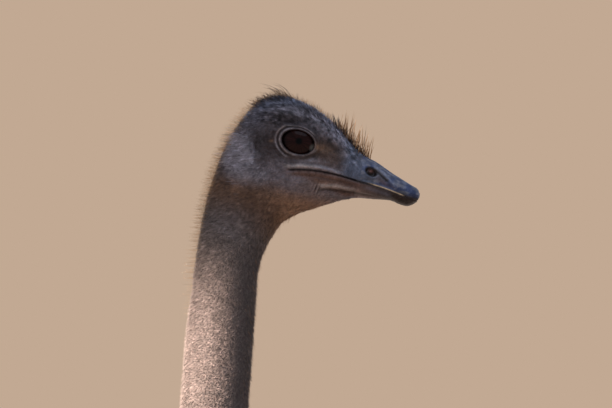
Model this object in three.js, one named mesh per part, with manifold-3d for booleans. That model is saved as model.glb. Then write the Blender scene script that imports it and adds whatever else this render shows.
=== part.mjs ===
// A life-size standing ostrich hen, head raised and turned straight ahead, in millimetres.
// +X is forward, +Y is the bird's left and +Z is up. The soles stand on Z = 0.
import * as THREE from 'three';
import { mergeVertices } from 'three/addons/utils/BufferGeometryUtils.js';
import Module from 'manifold-3d';

const wasm = await Module();
wasm.setup();
const { Manifold, Mesh: SolidMesh } = wasm;

// ---------------------------------------------------------------- driving dimensions

const GAP = 0.3;                      // clearance between neighbouring pieces
const EYE = { x: 470, z: 1815 };      // middle of both eyes, seen from the side
const EYE_RADIUS = { x: 23, y: 20, z: 23 };
const EYE_CENTRE_Y = 26;              // each eyeball's middle, from the bird's own middle plane
const EYE_OPENING = { long: 17, high: 12, tilt: -0.3 };   // half sizes of the gap between the lids
const NOSTRIL = { x: 543, z: 1784.5, long: 5.5, high: 3.4, deep: 4, tilt: -0.45 };
const LEG_X = -58;                    // the legs' fore and aft place, which puts the feet below the weight
const HIP_Y = 118;                    // the leg's sideways place at the thigh
const FOOT_Y = 104;                   // and at the foot
const LEG_TOP_Z = 900;                // legs lean fore and aft below this height
const STRIDE = 46;                    // right foot this far forward, left foot this far back
const OUTER_TOE_SPLAY = 0.46;         // angle between the two toes
const FOOT_TURN = 0.06;               // each foot points a little outwards
const TAIL_PLUMES = 7;
const WING_LOBES = 7;                 // the plume ends along the wing's lower edge

// ---------------------------------------------------------------- forms and solids

const signedPower = (v, power) => Math.sign(v) * Math.abs(v) ** power;

// A form is a row of oval rings. Each ring stands on two points of the side outline, "upper" and
// "lower", and has a half width to each side of the middle line. Squareness 2 is an ellipse, and a
// positive lean makes the upper half the wider one.
class Form {
  constructor(rows) {
    const curve = (points) => new THREE.CatmullRomCurve3(points, false, 'catmullrom', 0.5);
    this.last = rows.length - 1;
    this.upper = curve(rows.map(([ux, uz]) => new THREE.Vector3(ux, 0, uz)));
    this.lower = curve(rows.map(([, , lx, lz]) => new THREE.Vector3(lx, 0, lz)));
    this.shape = curve(rows.map(([, , , , half, square = 2, lean = 0]) =>
      new THREE.Vector3(half, square, lean)));
    this.middle = curve(rows.map((row) => new THREE.Vector3(row[7] ?? 0, 0, 0)));
  }

  // The point at station t and angle a, where a = 0 faces +Y and a quarter turn faces "upper".
  point(t, a, grow = 0) {
    const share = t / this.last;
    const upper = this.upper.getPoint(share);
    const lower = this.lower.getPoint(share);
    const { x: half, y: square, z: lean } = this.shape.getPoint(share);
    const axis = upper.clone().sub(lower);
    const rise = axis.length() / 2 + grow;
    axis.normalize();
    const up = signedPower(Math.sin(a), 2 / square);
    const side = signedPower(Math.cos(a), 2 / square) * (1 + lean * Math.sin(a));
    const point = upper.add(lower).multiplyScalar(0.5).addScaledVector(axis, up * rise);
    point.y = this.middle.getPoint(share).x + side * (half + grow);
    return point;
  }

  // How far t moves when the closer of the two outlines moves by one millimetre.
  stepPerMillimetre(t) {
    const d = 0.02;
    const a = Math.min(Math.max(t / this.last, d), 1 - d);
    const travel = (curve) => curve.getPoint(a + d / 2).distanceTo(curve.getPoint(a - d / 2));
    return (d * this.last) / Math.min(travel(this.upper), travel(this.lower));
  }

  // The closed piece from station t0 to t1. Ends at a cut stay half a gap clear of it.
  piece(t0, t1, rings, sides, grow = 0) {
    const clear = (t) => (t <= 0 || t >= this.last ? 0 : (GAP / 2) * this.stepPerMillimetre(t));
    const reach = (t) => grow * this.stepPerMillimetre(t);
    const from = t0 + (grow ? -reach(t0) : clear(t0));
    const to = t1 + (grow ? reach(t1) : -clear(t1));
    const at = (i) => Math.min(Math.max(from + ((to - from) * i) / rings, 0), this.last);
    return loft(rings + 1, sides, (i, j) =>
      this.point(at(i), (j / sides) * 2 * Math.PI, grow));
  }
}

// A closed geometry from rings of points, with a fan over each end.
function loft(rings, sides, pointAt) {
  const positions = [];
  const index = [];
  const ends = [new THREE.Vector3(), new THREE.Vector3()];
  for (let i = 0; i < rings; i++) {
    for (let j = 0; j < sides; j++) {
      const point = pointAt(i, j);
      positions.push(...point);
      if (i === 0) ends[0].addScaledVector(point, 1 / sides);
      if (i === rings - 1) ends[1].addScaledVector(point, 1 / sides);
    }
  }
  const vertex = (i, j) => i * sides + (j % sides);
  for (let i = 0; i < rings - 1; i++) {
    for (let j = 0; j < sides; j++) {
      index.push(vertex(i, j), vertex(i + 1, j), vertex(i, j + 1));
      index.push(vertex(i, j + 1), vertex(i + 1, j), vertex(i + 1, j + 1));
    }
  }
  const [first, last] = [rings * sides, rings * sides + 1];
  positions.push(...ends[0], ...ends[1]);
  for (let j = 0; j < sides; j++) {
    index.push(first, vertex(0, j), vertex(0, j + 1));
    index.push(last, vertex(rings - 1, j + 1), vertex(rings - 1, j));
  }
  return facingOut(positions, index);
}

// A geometry whose faces all point outwards, whichever way its rings ran.
function facingOut(positions, index) {
  const corner = (k) => new THREE.Vector3().fromArray(positions, index[k] * 3);
  let volume = 0;
  for (let k = 0; k < index.length; k += 3) {
    volume += corner(k).dot(corner(k + 1).cross(corner(k + 2)));
  }
  if (volume < 0) index.reverse();
  const geometry = new THREE.BufferGeometry();
  geometry.setAttribute('position', new THREE.Float32BufferAttribute(positions, 3));
  geometry.setIndex(index);
  return geometry;
}

function solid(geometry) {
  const bare = geometry.clone();
  bare.deleteAttribute('normal');
  bare.deleteAttribute('uv');
  const merged = mergeVertices(bare, 1e-4);
  return new Manifold(new SolidMesh({
    numProp: 3,
    vertProperties: merged.attributes.position.array,
    triVerts: new Uint32Array(merged.index.array),
  }));
}

function geometryOf(body) {
  const { vertProperties, triVerts } = body.getMesh();
  const geometry = new THREE.BufferGeometry();
  geometry.setAttribute('position', new THREE.BufferAttribute(vertProperties, 3));
  geometry.setIndex(new THREE.BufferAttribute(triVerts, 1));
  return geometry;
}

const largest = (body) => body.decompose().sort((a, b) => b.volume() - a.volume())[0];

function ellipsoid(radii, centre, turnY = 0, segments = 14) {
  const geometry = new THREE.SphereGeometry(1, segments, segments / 2);
  geometry.scale(...radii).rotateY(turnY).translate(...centre);
  return solid(geometry);
}

// ---------------------------------------------------------------- bill, head, neck and trunk

// Rows are [upper x, upper z, lower x, lower z, half width, squareness, lean].
// The head's rows are measured from the middle of the eye.
const headRows = [
  [120.4, -51, 120.0, -56, 5, 2.2, 0],
  [118.4, -47, 117, -60.5, 9.5, 2.2, 0],
  [113, -43.5, 109, -64, 12.8, 2.2, 0],
  [105, -38.5, 101, -62.5, 15.2, 2.2, 0],
  [93, -31, 91, -58.5, 17.8, 2.2, -0.05],
  [78, -20.5, 76, -57.3, 21.3, 2.1, -0.1],
  [64, -12.5, 58, -56, 25.5, 2.1, -0.1],
  [50, 1, 44, -57.5, 29.5, 2.1, -0.05],
  [35, 17.5, 30, -61.5, 34.5, 2.2, 0.05],
  [18, 31, 16, -66, 40, 2.3, 0.12],
  [0, 40, 2, -70.5, 43.5, 2.3, 0.16],
  [-19, 45, -6, -74.5, 43.5, 2.3, 0.14],
  [-38, 40.5, -12, -78, 41, 2.2, 0.1],
  [-53, 27, -16.5, -81, 38, 2.1, 0.05],
  [-66, 9, -20.5, -85.5, 35.5, 2, 0],
  [-77, -13, -25.5, -93, 33.5, 2, 0],
  [-88, -43, -31, -103, 32, 2, 0],
  [-97, -76, -36, -115.5, 31, 2, 0],
  [-103, -107, -39.5, -131, 31, 2, 0],
  [-109, -150, -41.5, -158, 31.5, 2, 0],
  [-115, -195, -44, -197, 32, 2, 0],
  [-121, -267, -49, -267, 33.5, 2, 0],
].map(([ux, uz, lx, lz, ...shape]) => [ux + EYE.x, uz + EYE.z, lx + EYE.x, lz + EYE.z, ...shape]);

// The lower neck and the trunk, measured from the ground below the hips.
const trunkRows = [
  [338, 1470, 416, 1472, 35, 2, 0],
  [331, 1400, 419, 1406, 39, 2, 0],
  [330, 1342, 432, 1345, 46, 2, 0],
  [327, 1300, 447, 1288, 56, 2, 0],
  [312, 1268, 461, 1222, 74, 2, 0],
  [283, 1250, 469, 1150, 100, 2, 0],
  [235, 1243, 466, 1075, 132, 2.1, 0],
  [170, 1246, 441, 992, 165, 2.1, 0],
  [90, 1258, 380, 905, 195, 2.2, 0],
  [0, 1266, 275, 835, 213, 2.2, 0],
  [-100, 1264, 120, 790, 220, 2.2, 0],
  [-200, 1248, -60, 780, 215, 2.2, 0],
  [-300, 1216, -220, 800, 195, 2.1, 0.03],
  [-385, 1168, -340, 850, 158, 2.1, 0.06],
  [-445, 1112, -420, 910, 112, 2, 0.06],
  [-485, 1060, -470, 965, 60, 2, 0],
  [-498, 1035, -492, 995, 22, 2, 0],
];

const BODY = new Form([...headRows, ...trunkRows]);

// Stations where the body is parted.
const CUT = { bill: 6, nape: 15, upperNeck: 19.4, middleNeck: 22.6, chest: 26.4, rump: 34.4 };

const bodyPiece = (t0, t1, rings, sides, grow) => solid(BODY.piece(t0, t1, rings, sides, grow));
const trunkPiece = (grow) => bodyPiece(CUT.chest, CUT.rump, 13, 32, grow);

// The closed mouth: a thin slab that follows the line of the gape from the bill's tip backwards.
function gapeSlab() {
  const line = [[130, -60], [111, -57], [101, -53], [81, -45.5], [61, -40], [41, -34], [35, -32.5]]
    .map(([x, z]) => new THREE.Vector2(x + EYE.x, z + EYE.z));
  const shape = new THREE.Shape([
    ...line,
    ...line.map((p) => p.clone().add(new THREE.Vector2(0, -2 * GAP))).reverse(),
  ]);
  const geometry = new THREE.ExtrudeGeometry(shape, { depth: 120, bevelEnabled: false });
  geometry.rotateX(Math.PI / 2).translate(0, 60, 0);
  return solid(geometry);
}

const LEFT = 1;
const RIGHT = -1;

function eyeball(side, grow = 0) {
  const radii = Object.values(EYE_RADIUS).map((r) => r + grow);
  return ellipsoid(radii, [EYE.x, side * EYE_CENTRE_Y, EYE.z]);
}

// The gap between the lids, cut straight out from the middle of the eyeball.
function lidOpening(side) {
  const geometry = new THREE.CylinderGeometry(1, 1, 40, 20);
  geometry.scale(EYE_OPENING.long, 1, EYE_OPENING.high).rotateY(-EYE_OPENING.tilt);
  geometry.translate(EYE.x, side * (EYE_CENTRE_Y + 20), EYE.z);
  return solid(geometry);
}

function nostril(side) {
  const { x, z, long, high, deep, tilt } = NOSTRIL;
  const wall = BODY.point(5, 0).y;
  return ellipsoid([long, deep, high], [x, side * (wall - 2.5), z], -tilt, 10);
}

function headSolid() {
  let head = bodyPiece(CUT.bill, CUT.nape, 14, 28);
  for (const side of [LEFT, RIGHT]) {
    head = head.subtract(eyeball(side, GAP)).subtract(lidOpening(side));
  }
  return largest(head);
}

function billSolids() {
  let bill = bodyPiece(0, CUT.bill, 9, 20).subtract(gapeSlab());
  for (const side of [LEFT, RIGHT]) bill = bill.subtract(nostril(side));
  const height = (body) => body.boundingBox().max[2];
  const [upper, lower] = bill.decompose()
    .sort((a, b) => b.volume() - a.volume())
    .slice(0, 2)
    .sort((a, b) => height(b) - height(a));
  return { upper, lower };
}

// ---------------------------------------------------------------- wings and tail

// A folded wing lies on the trunk like a thick pad, thickest behind, where the long plumes hang.
// Its lower edge ends in drooping plume lobes.
function wingSolid(side) {
  const [front, back] = [27.3, 36.2];
  const [rings, sides] = [24, 12];
  const sunk = -4;                    // the inner face starts inside the trunk, which then trims it
  const topAngle = (u) => 0.98 - 0.36 * u ** 2 - 0.5 * (1 - u) ** 4;
  const lobe = (u) => Math.abs(Math.sin(u * WING_LOBES * Math.PI));
  const lowAngle = (u) => -0.14 - 0.3 * Math.sin(Math.PI * u ** 0.8) - 0.16 * lobe(u) * u;
  const swell = (u, v) => {
    const along = Math.sin(Math.PI * Math.min(1, 0.05 + 0.85 * u ** 1.25)) ** 0.6;
    const across = Math.sin(Math.PI * Math.min(1, 0.08 + 0.86 * v)) ** 0.55;
    return 3 + (28 + 22 * u) * along * across;
  };
  return solid(loft(rings + 1, sides, (i, j) => {
    const u = i / rings;
    const outer = j < sides / 2;
    const v = outer ? j / (sides / 2 - 1) : (sides - 1 - j) / (sides / 2 - 1);
    const angle = lowAngle(u) + (topAngle(u) - lowAngle(u)) * v;
    const point = BODY.point(front + (back - front) * u, angle, outer ? swell(u, v) : sunk);
    point.y *= side;
    return point;
  }));
}

// One plume, lying along -X from the origin and drooping towards its rounded tip.
function plume(length, width, thick, droop, grow) {
  const stations = 6;
  const rows = [];
  for (let i = 0; i <= stations; i++) {
    const s = i / stations;
    const fullness = Math.sin(Math.PI * (0.2 + 0.75 * s)) ** 0.6;
    const [x, z] = [-length * s, -droop * s * s];
    rows.push([x, z + (thick / 2) * fullness, x, z - (thick / 2) * fullness, (width / 2) * fullness]);
  }
  return new Form(rows).piece(0, stations, 5, 8, grow);
}

function tailSolid(grow = 0) {
  let tail = bodyPiece(CUT.rump, BODY.last, 5, 32, grow);
  for (let k = 0; k < TAIL_PLUMES; k++) {
    const spread = (k / (TAIL_PLUMES - 1)) * 2 - 1;
    const outward = spread ** 2;
    const geometry = plume(300 - 70 * outward, 124, 80, 130 + 30 * outward, grow);
    geometry.rotateX(0.7 * spread).rotateZ(-0.3 * spread).rotateY(-0.5 - 0.15 * outward);
    geometry.translate(-408, 68 * spread, 1085 - 70 * outward);
    tail = tail.add(solid(geometry));
  }
  return tail;
}

// ---------------------------------------------------------------- legs

// Rows are [front x, front z, rear x, rear z, half width, squareness, lean, sideways place].
const legRows = [
  [150, 1000, -118, 1010, 60, 2, 0, HIP_Y - 10],
  [176, 930, -124, 960, 76, 2, 0, HIP_Y - 2],
  [172, 850, -122, 890, 76, 2, 0, HIP_Y],
  [132, 770, -112, 815, 67, 2, 0, HIP_Y],
  [78, 690, -98, 735, 53, 2, 0, HIP_Y - 3],
  [26, 615, -88, 650, 39, 2, 0, HIP_Y - 6],
  [-9, 555, -84, 580, 30, 2, 0, HIP_Y - 8],
  [-22, 515, -90, 533, 28.5, 2.1, 0, HIP_Y - 9],
  [-19, 487, -98, 494, 32.5, 2.3, 0, HIP_Y - 10],
  [-19, 460, -96, 452, 33.5, 2.3, 0, HIP_Y - 10],
  [-25, 428, -85, 416, 28, 2.2, 0, HIP_Y - 11],
  [-24, 375, -72, 365, 23, 2.2, 0, FOOT_Y + 2],
  [-13, 300, -59, 292, 20, 2.2, 0, FOOT_Y + 1],
  [0, 210, -44, 204, 20, 2.2, 0, FOOT_Y],
  [12, 130, -36, 122, 23.5, 2.2, 0, FOOT_Y],
  [24, 85, -33, 78, 28.5, 2.2, 0, FOOT_Y],
  [28, 55, -30, 50, 30, 2.2, 0, FOOT_Y],
  [20, 30, -22, 28, 24, 2, 0, FOOT_Y],
];
const LEG = new Form(legRows);
const ANKLE = 8.6;

// Toe rows run forward from the joint that the leg stands on, whose place is the origin.
const middleToe = new Form([
  [-34, 24, -33, 6, 13], [-26, 46, -26, -2.5, 25, 2.3], [0, 64, 0, -3, 32, 2.4],
  [35, 56, 35, -3, 29.5, 2.4], [70, 45, 70, -3, 25, 2.4], [95, 44, 95, -3, 26.5, 2.4],
  [125, 37, 125, -3, 23.5, 2.4], [150, 33, 150, -3, 22, 2.4], [168, 24, 168, 0, 16, 2.2],
  [176, 16, 175, 5, 8],
]);
const outerToe = new Form([
  [-16, 28, -16, 4, 12], [5, 45, 5, -3, 20, 2.3], [38, 37, 38, -3, 18.5, 2.4],
  [66, 34, 66, -3, 19, 2.4], [92, 26, 92, -3, 16.5, 2.4], [110, 16, 110, 1, 10], [116, 11, 115, 5, 5],
]);
const claw = new Form([
  [136, 22, 136, 8, 7], [148, 33, 148, 7, 13, 2.4], [165, 30.5, 166, 4, 13.5, 2.5],
  [185, 22, 187, 1, 11, 2.4], [200, 13, 201, 0.6, 7, 2.2], [208, 6.5, 208, 1.4, 2.6],
]);

const aboveFloor = solid(new THREE.BoxGeometry(1400, 1400, 1400).translate(0, 0, 700));

function legSolids(side) {
  const lean = (geometry) => {
    const place = geometry.attributes.position;
    for (let i = 0; i < place.count; i++) {
      const below = Math.max(0, LEG_TOP_Z - place.getZ(i)) / LEG_TOP_Z;
      place.setX(i, place.getX(i) + LEG_X - side * STRIDE * below);
      place.setY(i, place.getY(i) * side);
    }
    return solid(side === LEFT ? geometry : facingOut([...place.array], [...geometry.index.array]));
  };
  const placed = (geometry, turn = 0, out = 0) => {
    geometry.rotateZ(side * turn).translate(0, side * out, 0).rotateZ(side * FOOT_TURN);
    geometry.translate(LEG_X - side * STRIDE, side * FOOT_Y, 0);
    return solid(geometry);
  };
  const toe = (form, rings, grow, turn, out) =>
    placed(form.piece(0, form.last, rings, 10, grow), turn, out);

  const nail = placed(claw.piece(0, claw.last, 6, 10));
  const nailRoom = placed(claw.piece(0, claw.last, 6, 10, GAP));
  const middle = toe(middleToe, 11, 0).subtract(nailRoom).intersect(aboveFloor);
  const middleRoom = toe(middleToe, 11, GAP);
  const upper = lean(LEG.piece(0, ANKLE, 11, 16));
  const lower = lean(LEG.piece(ANKLE, LEG.last, 11, 14));
  const lowerRoom = lean(LEG.piece(ANKLE, LEG.last, 11, 14, GAP));
  const outer = toe(outerToe, 8, 0, OUTER_TOE_SPLAY, 16)
    .subtract(middleRoom).subtract(lowerRoom).intersect(aboveFloor);
  return {
    thigh: largest(upper.subtract(trunkPiece(GAP))),
    shank: largest(lower.subtract(middleRoom)),
    toe_middle: largest(middle),
    toe_outer: largest(outer),
    claw: nail.intersect(aboveFloor),
  };
}

// ---------------------------------------------------------------- materials and nodes

const finish = (color, roughness) => new THREE.MeshStandardMaterial({ color, roughness, metalness: 0 });
const HORN = finish(0x4d4b55, 0.5);
const FACE = finish(0x5e565a, 0.8);
const DOWN = finish(0x94806f, 0.95);
const PLUMAGE = finish(0x6b5a4c, 0.95);
const PALE_PLUMES = finish(0x9a8b7c, 0.95);
const BARE_SKIN = finish(0x8d7a70, 0.75);
const SCALES = finish(0x6e625c, 0.65);
const EYEBALL = finish(0x1c1012, 0.1);

const ostrich = new THREE.Group();

function addNode(name, body, material) {
  const mesh = new THREE.Mesh(geometryOf(body), material);
  mesh.name = name;
  ostrich.add(mesh);
}

const bill = billSolids();
addNode('bill_upper', bill.upper, HORN);
addNode('bill_lower', bill.lower, HORN);
addNode('head', headSolid(), FACE);
addNode('neck_upper', bodyPiece(CUT.nape, CUT.upperNeck, 7, 20), DOWN);
addNode('neck_middle', bodyPiece(CUT.upperNeck, CUT.middleNeck, 5, 20), DOWN);
addNode('neck_lower', bodyPiece(CUT.middleNeck, CUT.chest, 7, 24), DOWN);
addNode('trunk', trunkPiece(), PLUMAGE);
addNode('tail', tailSolid(), PALE_PLUMES);

for (const [word, side] of [['left', LEFT], ['right', RIGHT]]) {
  addNode(`eye_${word}`, eyeball(side), EYEBALL);
  const leg = legSolids(side);
  const wing = wingSolid(side).subtract(trunkPiece(GAP)).subtract(tailSolid(GAP));
  addNode(`wing_${word}`, largest(wing), PALE_PLUMES);
  addNode(`thigh_${word}`, leg.thigh, BARE_SKIN);
  addNode(`shank_${word}`, leg.shank, SCALES);
  addNode(`toe_middle_${word}`, leg.toe_middle, SCALES);
  addNode(`toe_outer_${word}`, leg.toe_outer, SCALES);
  addNode(`claw_${word}`, leg.claw, HORN);
}

// The origin is on the floor, below the middle of the whole bird.
const box = new THREE.Box3().setFromObject(ostrich);
ostrich.position.x = -(box.min.x + box.max.x) / 2;
ostrich.position.y = -(box.min.y + box.max.y) / 2;

export default ostrich;
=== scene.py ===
"""A life-size standing ostrich hen: one skin, horn bill and claws, wet eyes, down, bristles and plumes.

Sizes are in millimetres in the bird's own frame (+X forward, +Y its left, +Z up, soles on Z = 0) until a
mesh is made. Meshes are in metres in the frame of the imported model.
"""
import math

import bpy
import numpy as np
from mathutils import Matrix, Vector


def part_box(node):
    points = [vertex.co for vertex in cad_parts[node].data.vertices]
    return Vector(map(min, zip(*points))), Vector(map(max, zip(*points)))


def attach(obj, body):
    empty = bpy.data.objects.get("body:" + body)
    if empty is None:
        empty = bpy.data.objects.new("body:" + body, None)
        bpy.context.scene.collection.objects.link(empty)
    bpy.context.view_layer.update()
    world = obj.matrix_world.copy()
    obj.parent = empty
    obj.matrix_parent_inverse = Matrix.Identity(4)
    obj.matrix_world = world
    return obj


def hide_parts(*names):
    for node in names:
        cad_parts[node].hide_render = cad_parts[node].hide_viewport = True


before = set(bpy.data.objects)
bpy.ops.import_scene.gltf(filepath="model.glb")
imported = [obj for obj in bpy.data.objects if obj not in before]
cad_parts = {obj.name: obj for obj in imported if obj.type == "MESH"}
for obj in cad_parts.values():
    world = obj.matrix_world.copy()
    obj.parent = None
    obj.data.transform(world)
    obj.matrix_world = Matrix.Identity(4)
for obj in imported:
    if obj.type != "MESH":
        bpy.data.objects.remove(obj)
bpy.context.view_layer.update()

bl_info = {
    "name": "Ostrich hen",
    "version": (1, 0, 0),
    "blender": (4, 5, 0),
    "location": "3D View > Sidebar > Ostrich",
    "description": "Builds the skin, bill, eyes, claws, down and plumes of a standing ostrich hen",
    "category": "Add Mesh",
}

LEFT, RIGHT = 1, -1
SIDES = ((LEFT, "left"), (RIGHT, "right"))
# Seeds of the random draws.
FACE_SEED, BRISTLE_SEED, LASH_SEED, DOWN_SEED, FEATHER_SEED, TAIL_SEED, THIGH_SEED, WING_SEED = (
    11, 12, 13, 20, 30, 31, 41, 50)

# --------------------------------------------------------------------------------------- the bird's form

EYE_X, EYE_Z = 470.0, 1815.0
EYE_RADIUS = (23.0, 20.0, 23.0)
EYE_CENTRE_Y = 26.0
HEAD_HALF_WIDTH = 44.0                              # at the eyes, without the lids
LID_DOME = 26.5                                     # radius of the dome that the lids form over the eye
EYE_REACH = 34.0                                    # how far from the eye's middle the lids shape the skin
LID_LONG, LID_HIGH, LID_TILT = 17.0, 12.1, -0.3     # half sizes and slope of the gap between the lids
LID_X, LID_Z = -0.9, -0.8                           # the gap's middle from the eyeball's

# Each row is one oval ring: upper x, z, lower x, z, half width, squareness, lean, sideways place.
# The head's rows count x and z from the middle of the eye.
HEAD_ROWS = [
    (120.4, -51, 120.0, -56, 5, 2.2, 0), (118.4, -47, 117, -60.5, 9.5, 2.2, 0),
    (113, -43.5, 109, -64, 12.8, 2.2, 0), (105, -38.5, 101, -62.5, 15.2, 2.2, 0),
    (93, -31, 91, -58.5, 17.8, 2.2, -0.05), (78, -20.5, 76, -57.3, 21.3, 2.1, -0.1),
    (64, -12.5, 58, -56, 25.5, 2.1, -0.1), (50, 1, 44, -57.5, 29.5, 2.1, -0.05),
    (35, 17.5, 30, -61.5, 34.5, 2.2, 0.05), (18, 31, 16, -66, 40, 2.3, 0.12),
    (0, 40, 2, -70.5, 43.5, 2.3, 0.16), (-19, 45, -6, -74.5, 43.5, 2.3, 0.14),
    (-38, 40.5, -12, -78, 41, 2.2, 0.1), (-53, 27, -16.5, -81, 38, 2.1, 0.05),
    (-66, 9, -20.5, -85.5, 35.5, 2, 0), (-77, -13, -25.5, -93, 33.5, 2, 0),
    (-88, -43, -31, -103, 32, 2, 0), (-97, -76, -36, -115.5, 31, 2, 0),
    (-103, -107, -39.5, -131, 31, 2, 0), (-109, -150, -41.5, -158, 31.5, 2, 0),
    (-115, -195, -44, -197, 32, 2, 0), (-121, -267, -49, -267, 33.5, 2, 0),
]
TRUNK_ROWS = [
    (338, 1470, 416, 1472, 35), (331, 1400, 419, 1406, 39), (330, 1342, 432, 1345, 46),
    (327, 1300, 447, 1288, 56), (312, 1268, 461, 1222, 74), (283, 1250, 469, 1150, 100),
    (235, 1243, 466, 1075, 132, 2.1), (170, 1246, 441, 992, 165, 2.1),
    (90, 1258, 380, 905, 195, 2.2), (0, 1266, 275, 835, 213, 2.2),
    (-100, 1264, 120, 790, 220, 2.2), (-200, 1248, -60, 780, 215, 2.2),
    (-300, 1216, -220, 800, 195, 2.1, 0.03), (-385, 1168, -340, 850, 158, 2.1, 0.06),
    (-445, 1112, -420, 910, 112, 2, 0.06), (-485, 1060, -470, 965, 60), (-498, 1035, -492, 995, 22),
]
LEG_ROWS = [
    (150, 1000, -118, 1010, 60, 2, 0, 108), (176, 930, -124, 960, 76, 2, 0, 116),
    (172, 850, -122, 890, 76, 2, 0, 118), (132, 770, -112, 815, 67, 2, 0, 118),
    (78, 690, -98, 735, 53, 2, 0, 115), (26, 615, -88, 650, 39, 2, 0, 112),
    (-9, 555, -84, 580, 30, 2, 0, 110), (-22, 515, -90, 533, 28.5, 2.1, 0, 109),
    (-19, 487, -98, 494, 32.5, 2.3, 0, 108), (-19, 460, -96, 452, 33.5, 2.3, 0, 108),
    (-25, 428, -85, 416, 28, 2.2, 0, 107), (-24, 375, -72, 365, 23, 2.2, 0, 106),
    (-13, 300, -59, 292, 20, 2.2, 0, 105), (0, 210, -44, 204, 20, 2.2, 0, 104),
    (12, 130, -36, 122, 23.5, 2.2, 0, 104), (24, 85, -33, 78, 28.5, 2.2, 0, 104),
    (28, 55, -30, 50, 30, 2.2, 0, 104), (20, 30, -22, 28, 24, 2, 0, 104),
]
MIDDLE_TOE_ROWS = [
    (-34, 24, -33, 6, 13), (-26, 46, -26, -2.5, 25, 2.3), (0, 64, 0, -3, 32, 2.4),
    (35, 56, 35, -3, 29.5, 2.4), (70, 45, 70, -3, 25, 2.4), (95, 44, 95, -3, 26.5, 2.4),
    (125, 37, 125, -3, 23.5, 2.4), (150, 33, 150, -3, 22, 2.4), (168, 24, 168, 0, 16, 2.2),
    (176, 16, 175, 5, 8),
]
OUTER_TOE_ROWS = [
    (-16, 28, -16, 4, 12), (5, 45, 5, -3, 20, 2.3), (38, 37, 38, -3, 18.5, 2.4),
    (66, 34, 66, -3, 19, 2.4), (92, 26, 92, -3, 16.5, 2.4), (110, 16, 110, 1, 10), (116, 11, 115, 5, 5),
]
CLAW_ROWS = [
    (136, 22, 136, 8, 7), (148, 33, 148, 7, 13, 2.4), (165, 30.5, 166, 4, 13.5, 2.5),
    (185, 22, 187, 1, 11, 2.4), (200, 13, 201, 0.6, 7, 2.2), (208, 6.5, 208, 1.4, 2.6),
]
LEG_X, LEG_TOP_Z, STRIDE = -58.0, 900.0, 46.0
SHANK_SCUTE, TOE_SCUTE = 9.5, 6.5       # how long one scute is
FOOT_Y, FOOT_TURN, OUTER_TOE_SPLAY, OUTER_TOE_Y = 104.0, 0.06, 0.46, 16.0

LOWER_BILL_START = 0.95     # the lower half of the bill starts behind the upper half's hook
BILL_END = 6.0          # the station where the horn of the bill ends and the skin begins
HEAD_END = 17.0         # the head's own relief has faded out at this station
NAPE_END = 19.8         # the nape's long fringe has thinned out at this station
NEAR_EDGE = 21.0        # the neck above this station is seen from closest
WING = (27.3, 36.2)     # the stations that a folded wing covers

# The closed mouth's line from the corner of the gape to the bill's tip, x and z from the eye's middle.
GAPE = np.array([
    (-14, -27.5), (-9, -28), (1, -28), (11, -28.5), (21, -29.5), (31, -31.5), (41, -34), (51, -37),
    (61, -40), (71, -42.5), (81, -45.5), (91, -49), (101, -53), (111, -56.5), (125, -60),
], float)
# The lower jaw in the same view: the crease under its ridge, the ridge, and the fold above that.
JAW = np.array([
    (21, -48.3), (28, -47.4), (41, -49), (51, -50.3), (61, -51.9), (78, -55), (91, -57),
], float)
JAW_RIDGE = np.array([(22, -44.2), (35, -44.2), (45, -46), (57, -48.8), (70, -51.6)], float)
JAW_FOLD = np.array([(12, -33.8), (28, -38.0), (45, -40.5), (56, -44.5)], float)
# A dark stroke from the eye's front corner towards the bill, and the nostril with its groove and ridge.
LORE_STROKE = np.array([(15, 5), (28, -1), (41, -10.5)], float)
NOSTRIL = (72.0, -30.0, 6.4, 4.3, -0.5)           # x, z, half length, half height, slope
NOSTRIL_GROOVE = np.array([(76, -29), (81, -33), (87.5, -39)], float)
NOSTRIL_RIDGE = np.array([(75, -24), (84, -31.5), (95, -44)], float)
NODULE = (71.6, -29.4, 2.7, 1.7, -0.3)             # the knob inside the nostril
HOLLOW = (83.0, -39.5, 8.5, 2.8, -0.6)             # the shallow dip below the nostril's groove
BROW_HIGHLIGHT_BAND = np.array([(-24, 34), (-7, 31), (6, 28), (26, 18), (48, 0)], float)     # painted highlight: a pale band over the brow
EAR = (-43.0, -6.0)
EAR_PATCH = (-60.0, -16.0, 14.0, 26.0, 0.2)         # x, z, half width, half height, slope


def smooth(low, high, x):
    """0 below low, 1 above high, with soft ends."""
    f = np.clip((x - low) / (high - low), 0, 1)
    return f * f * (3 - 2 * f)


def bell(x, width):
    """1 at zero, falling off over that width."""
    return np.exp(-((x / width) ** 2))


def unit(v):
    """Vectors of length 1 in the same directions."""
    return v / np.maximum(np.linalg.norm(v, axis=-1, keepdims=True), 1e-9)


def side_view(p):
    """How far points lie before and above the eye's middle, seen from the side."""
    return p[..., 0] - EYE_X, p[..., 2] - EYE_Z


def over_gape(x, z):
    """The height over the closed mouth's line."""
    return z - np.interp(x, GAPE[:, 0], GAPE[:, 1])


def oval(x, z, centre_x, centre_z, half_x, half_z, slope=0.0):
    """The distance from an oval's middle as a share of its half size in that direction."""
    dx, dz = x - centre_x, z - centre_z
    c, s = math.cos(slope), math.sin(slope)
    return np.hypot((dx * c + dz * s) / half_x, (dz * c - dx * s) / half_z)


def from_line(x, z, line):
    """The distance to a line of points, in the side view."""
    nearest = np.full(np.shape(x), np.inf)
    for (ax, az), (bx, bz) in zip(line[:-1], line[1:]):
        ux, uz = bx - ax, bz - az
        share = np.clip(((x - ax) * ux + (z - az) * uz) / (ux * ux + uz * uz), 0, 1)
        nearest = np.minimum(nearest, np.hypot(x - ax - share * ux, z - az - share * uz))
    return nearest


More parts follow.
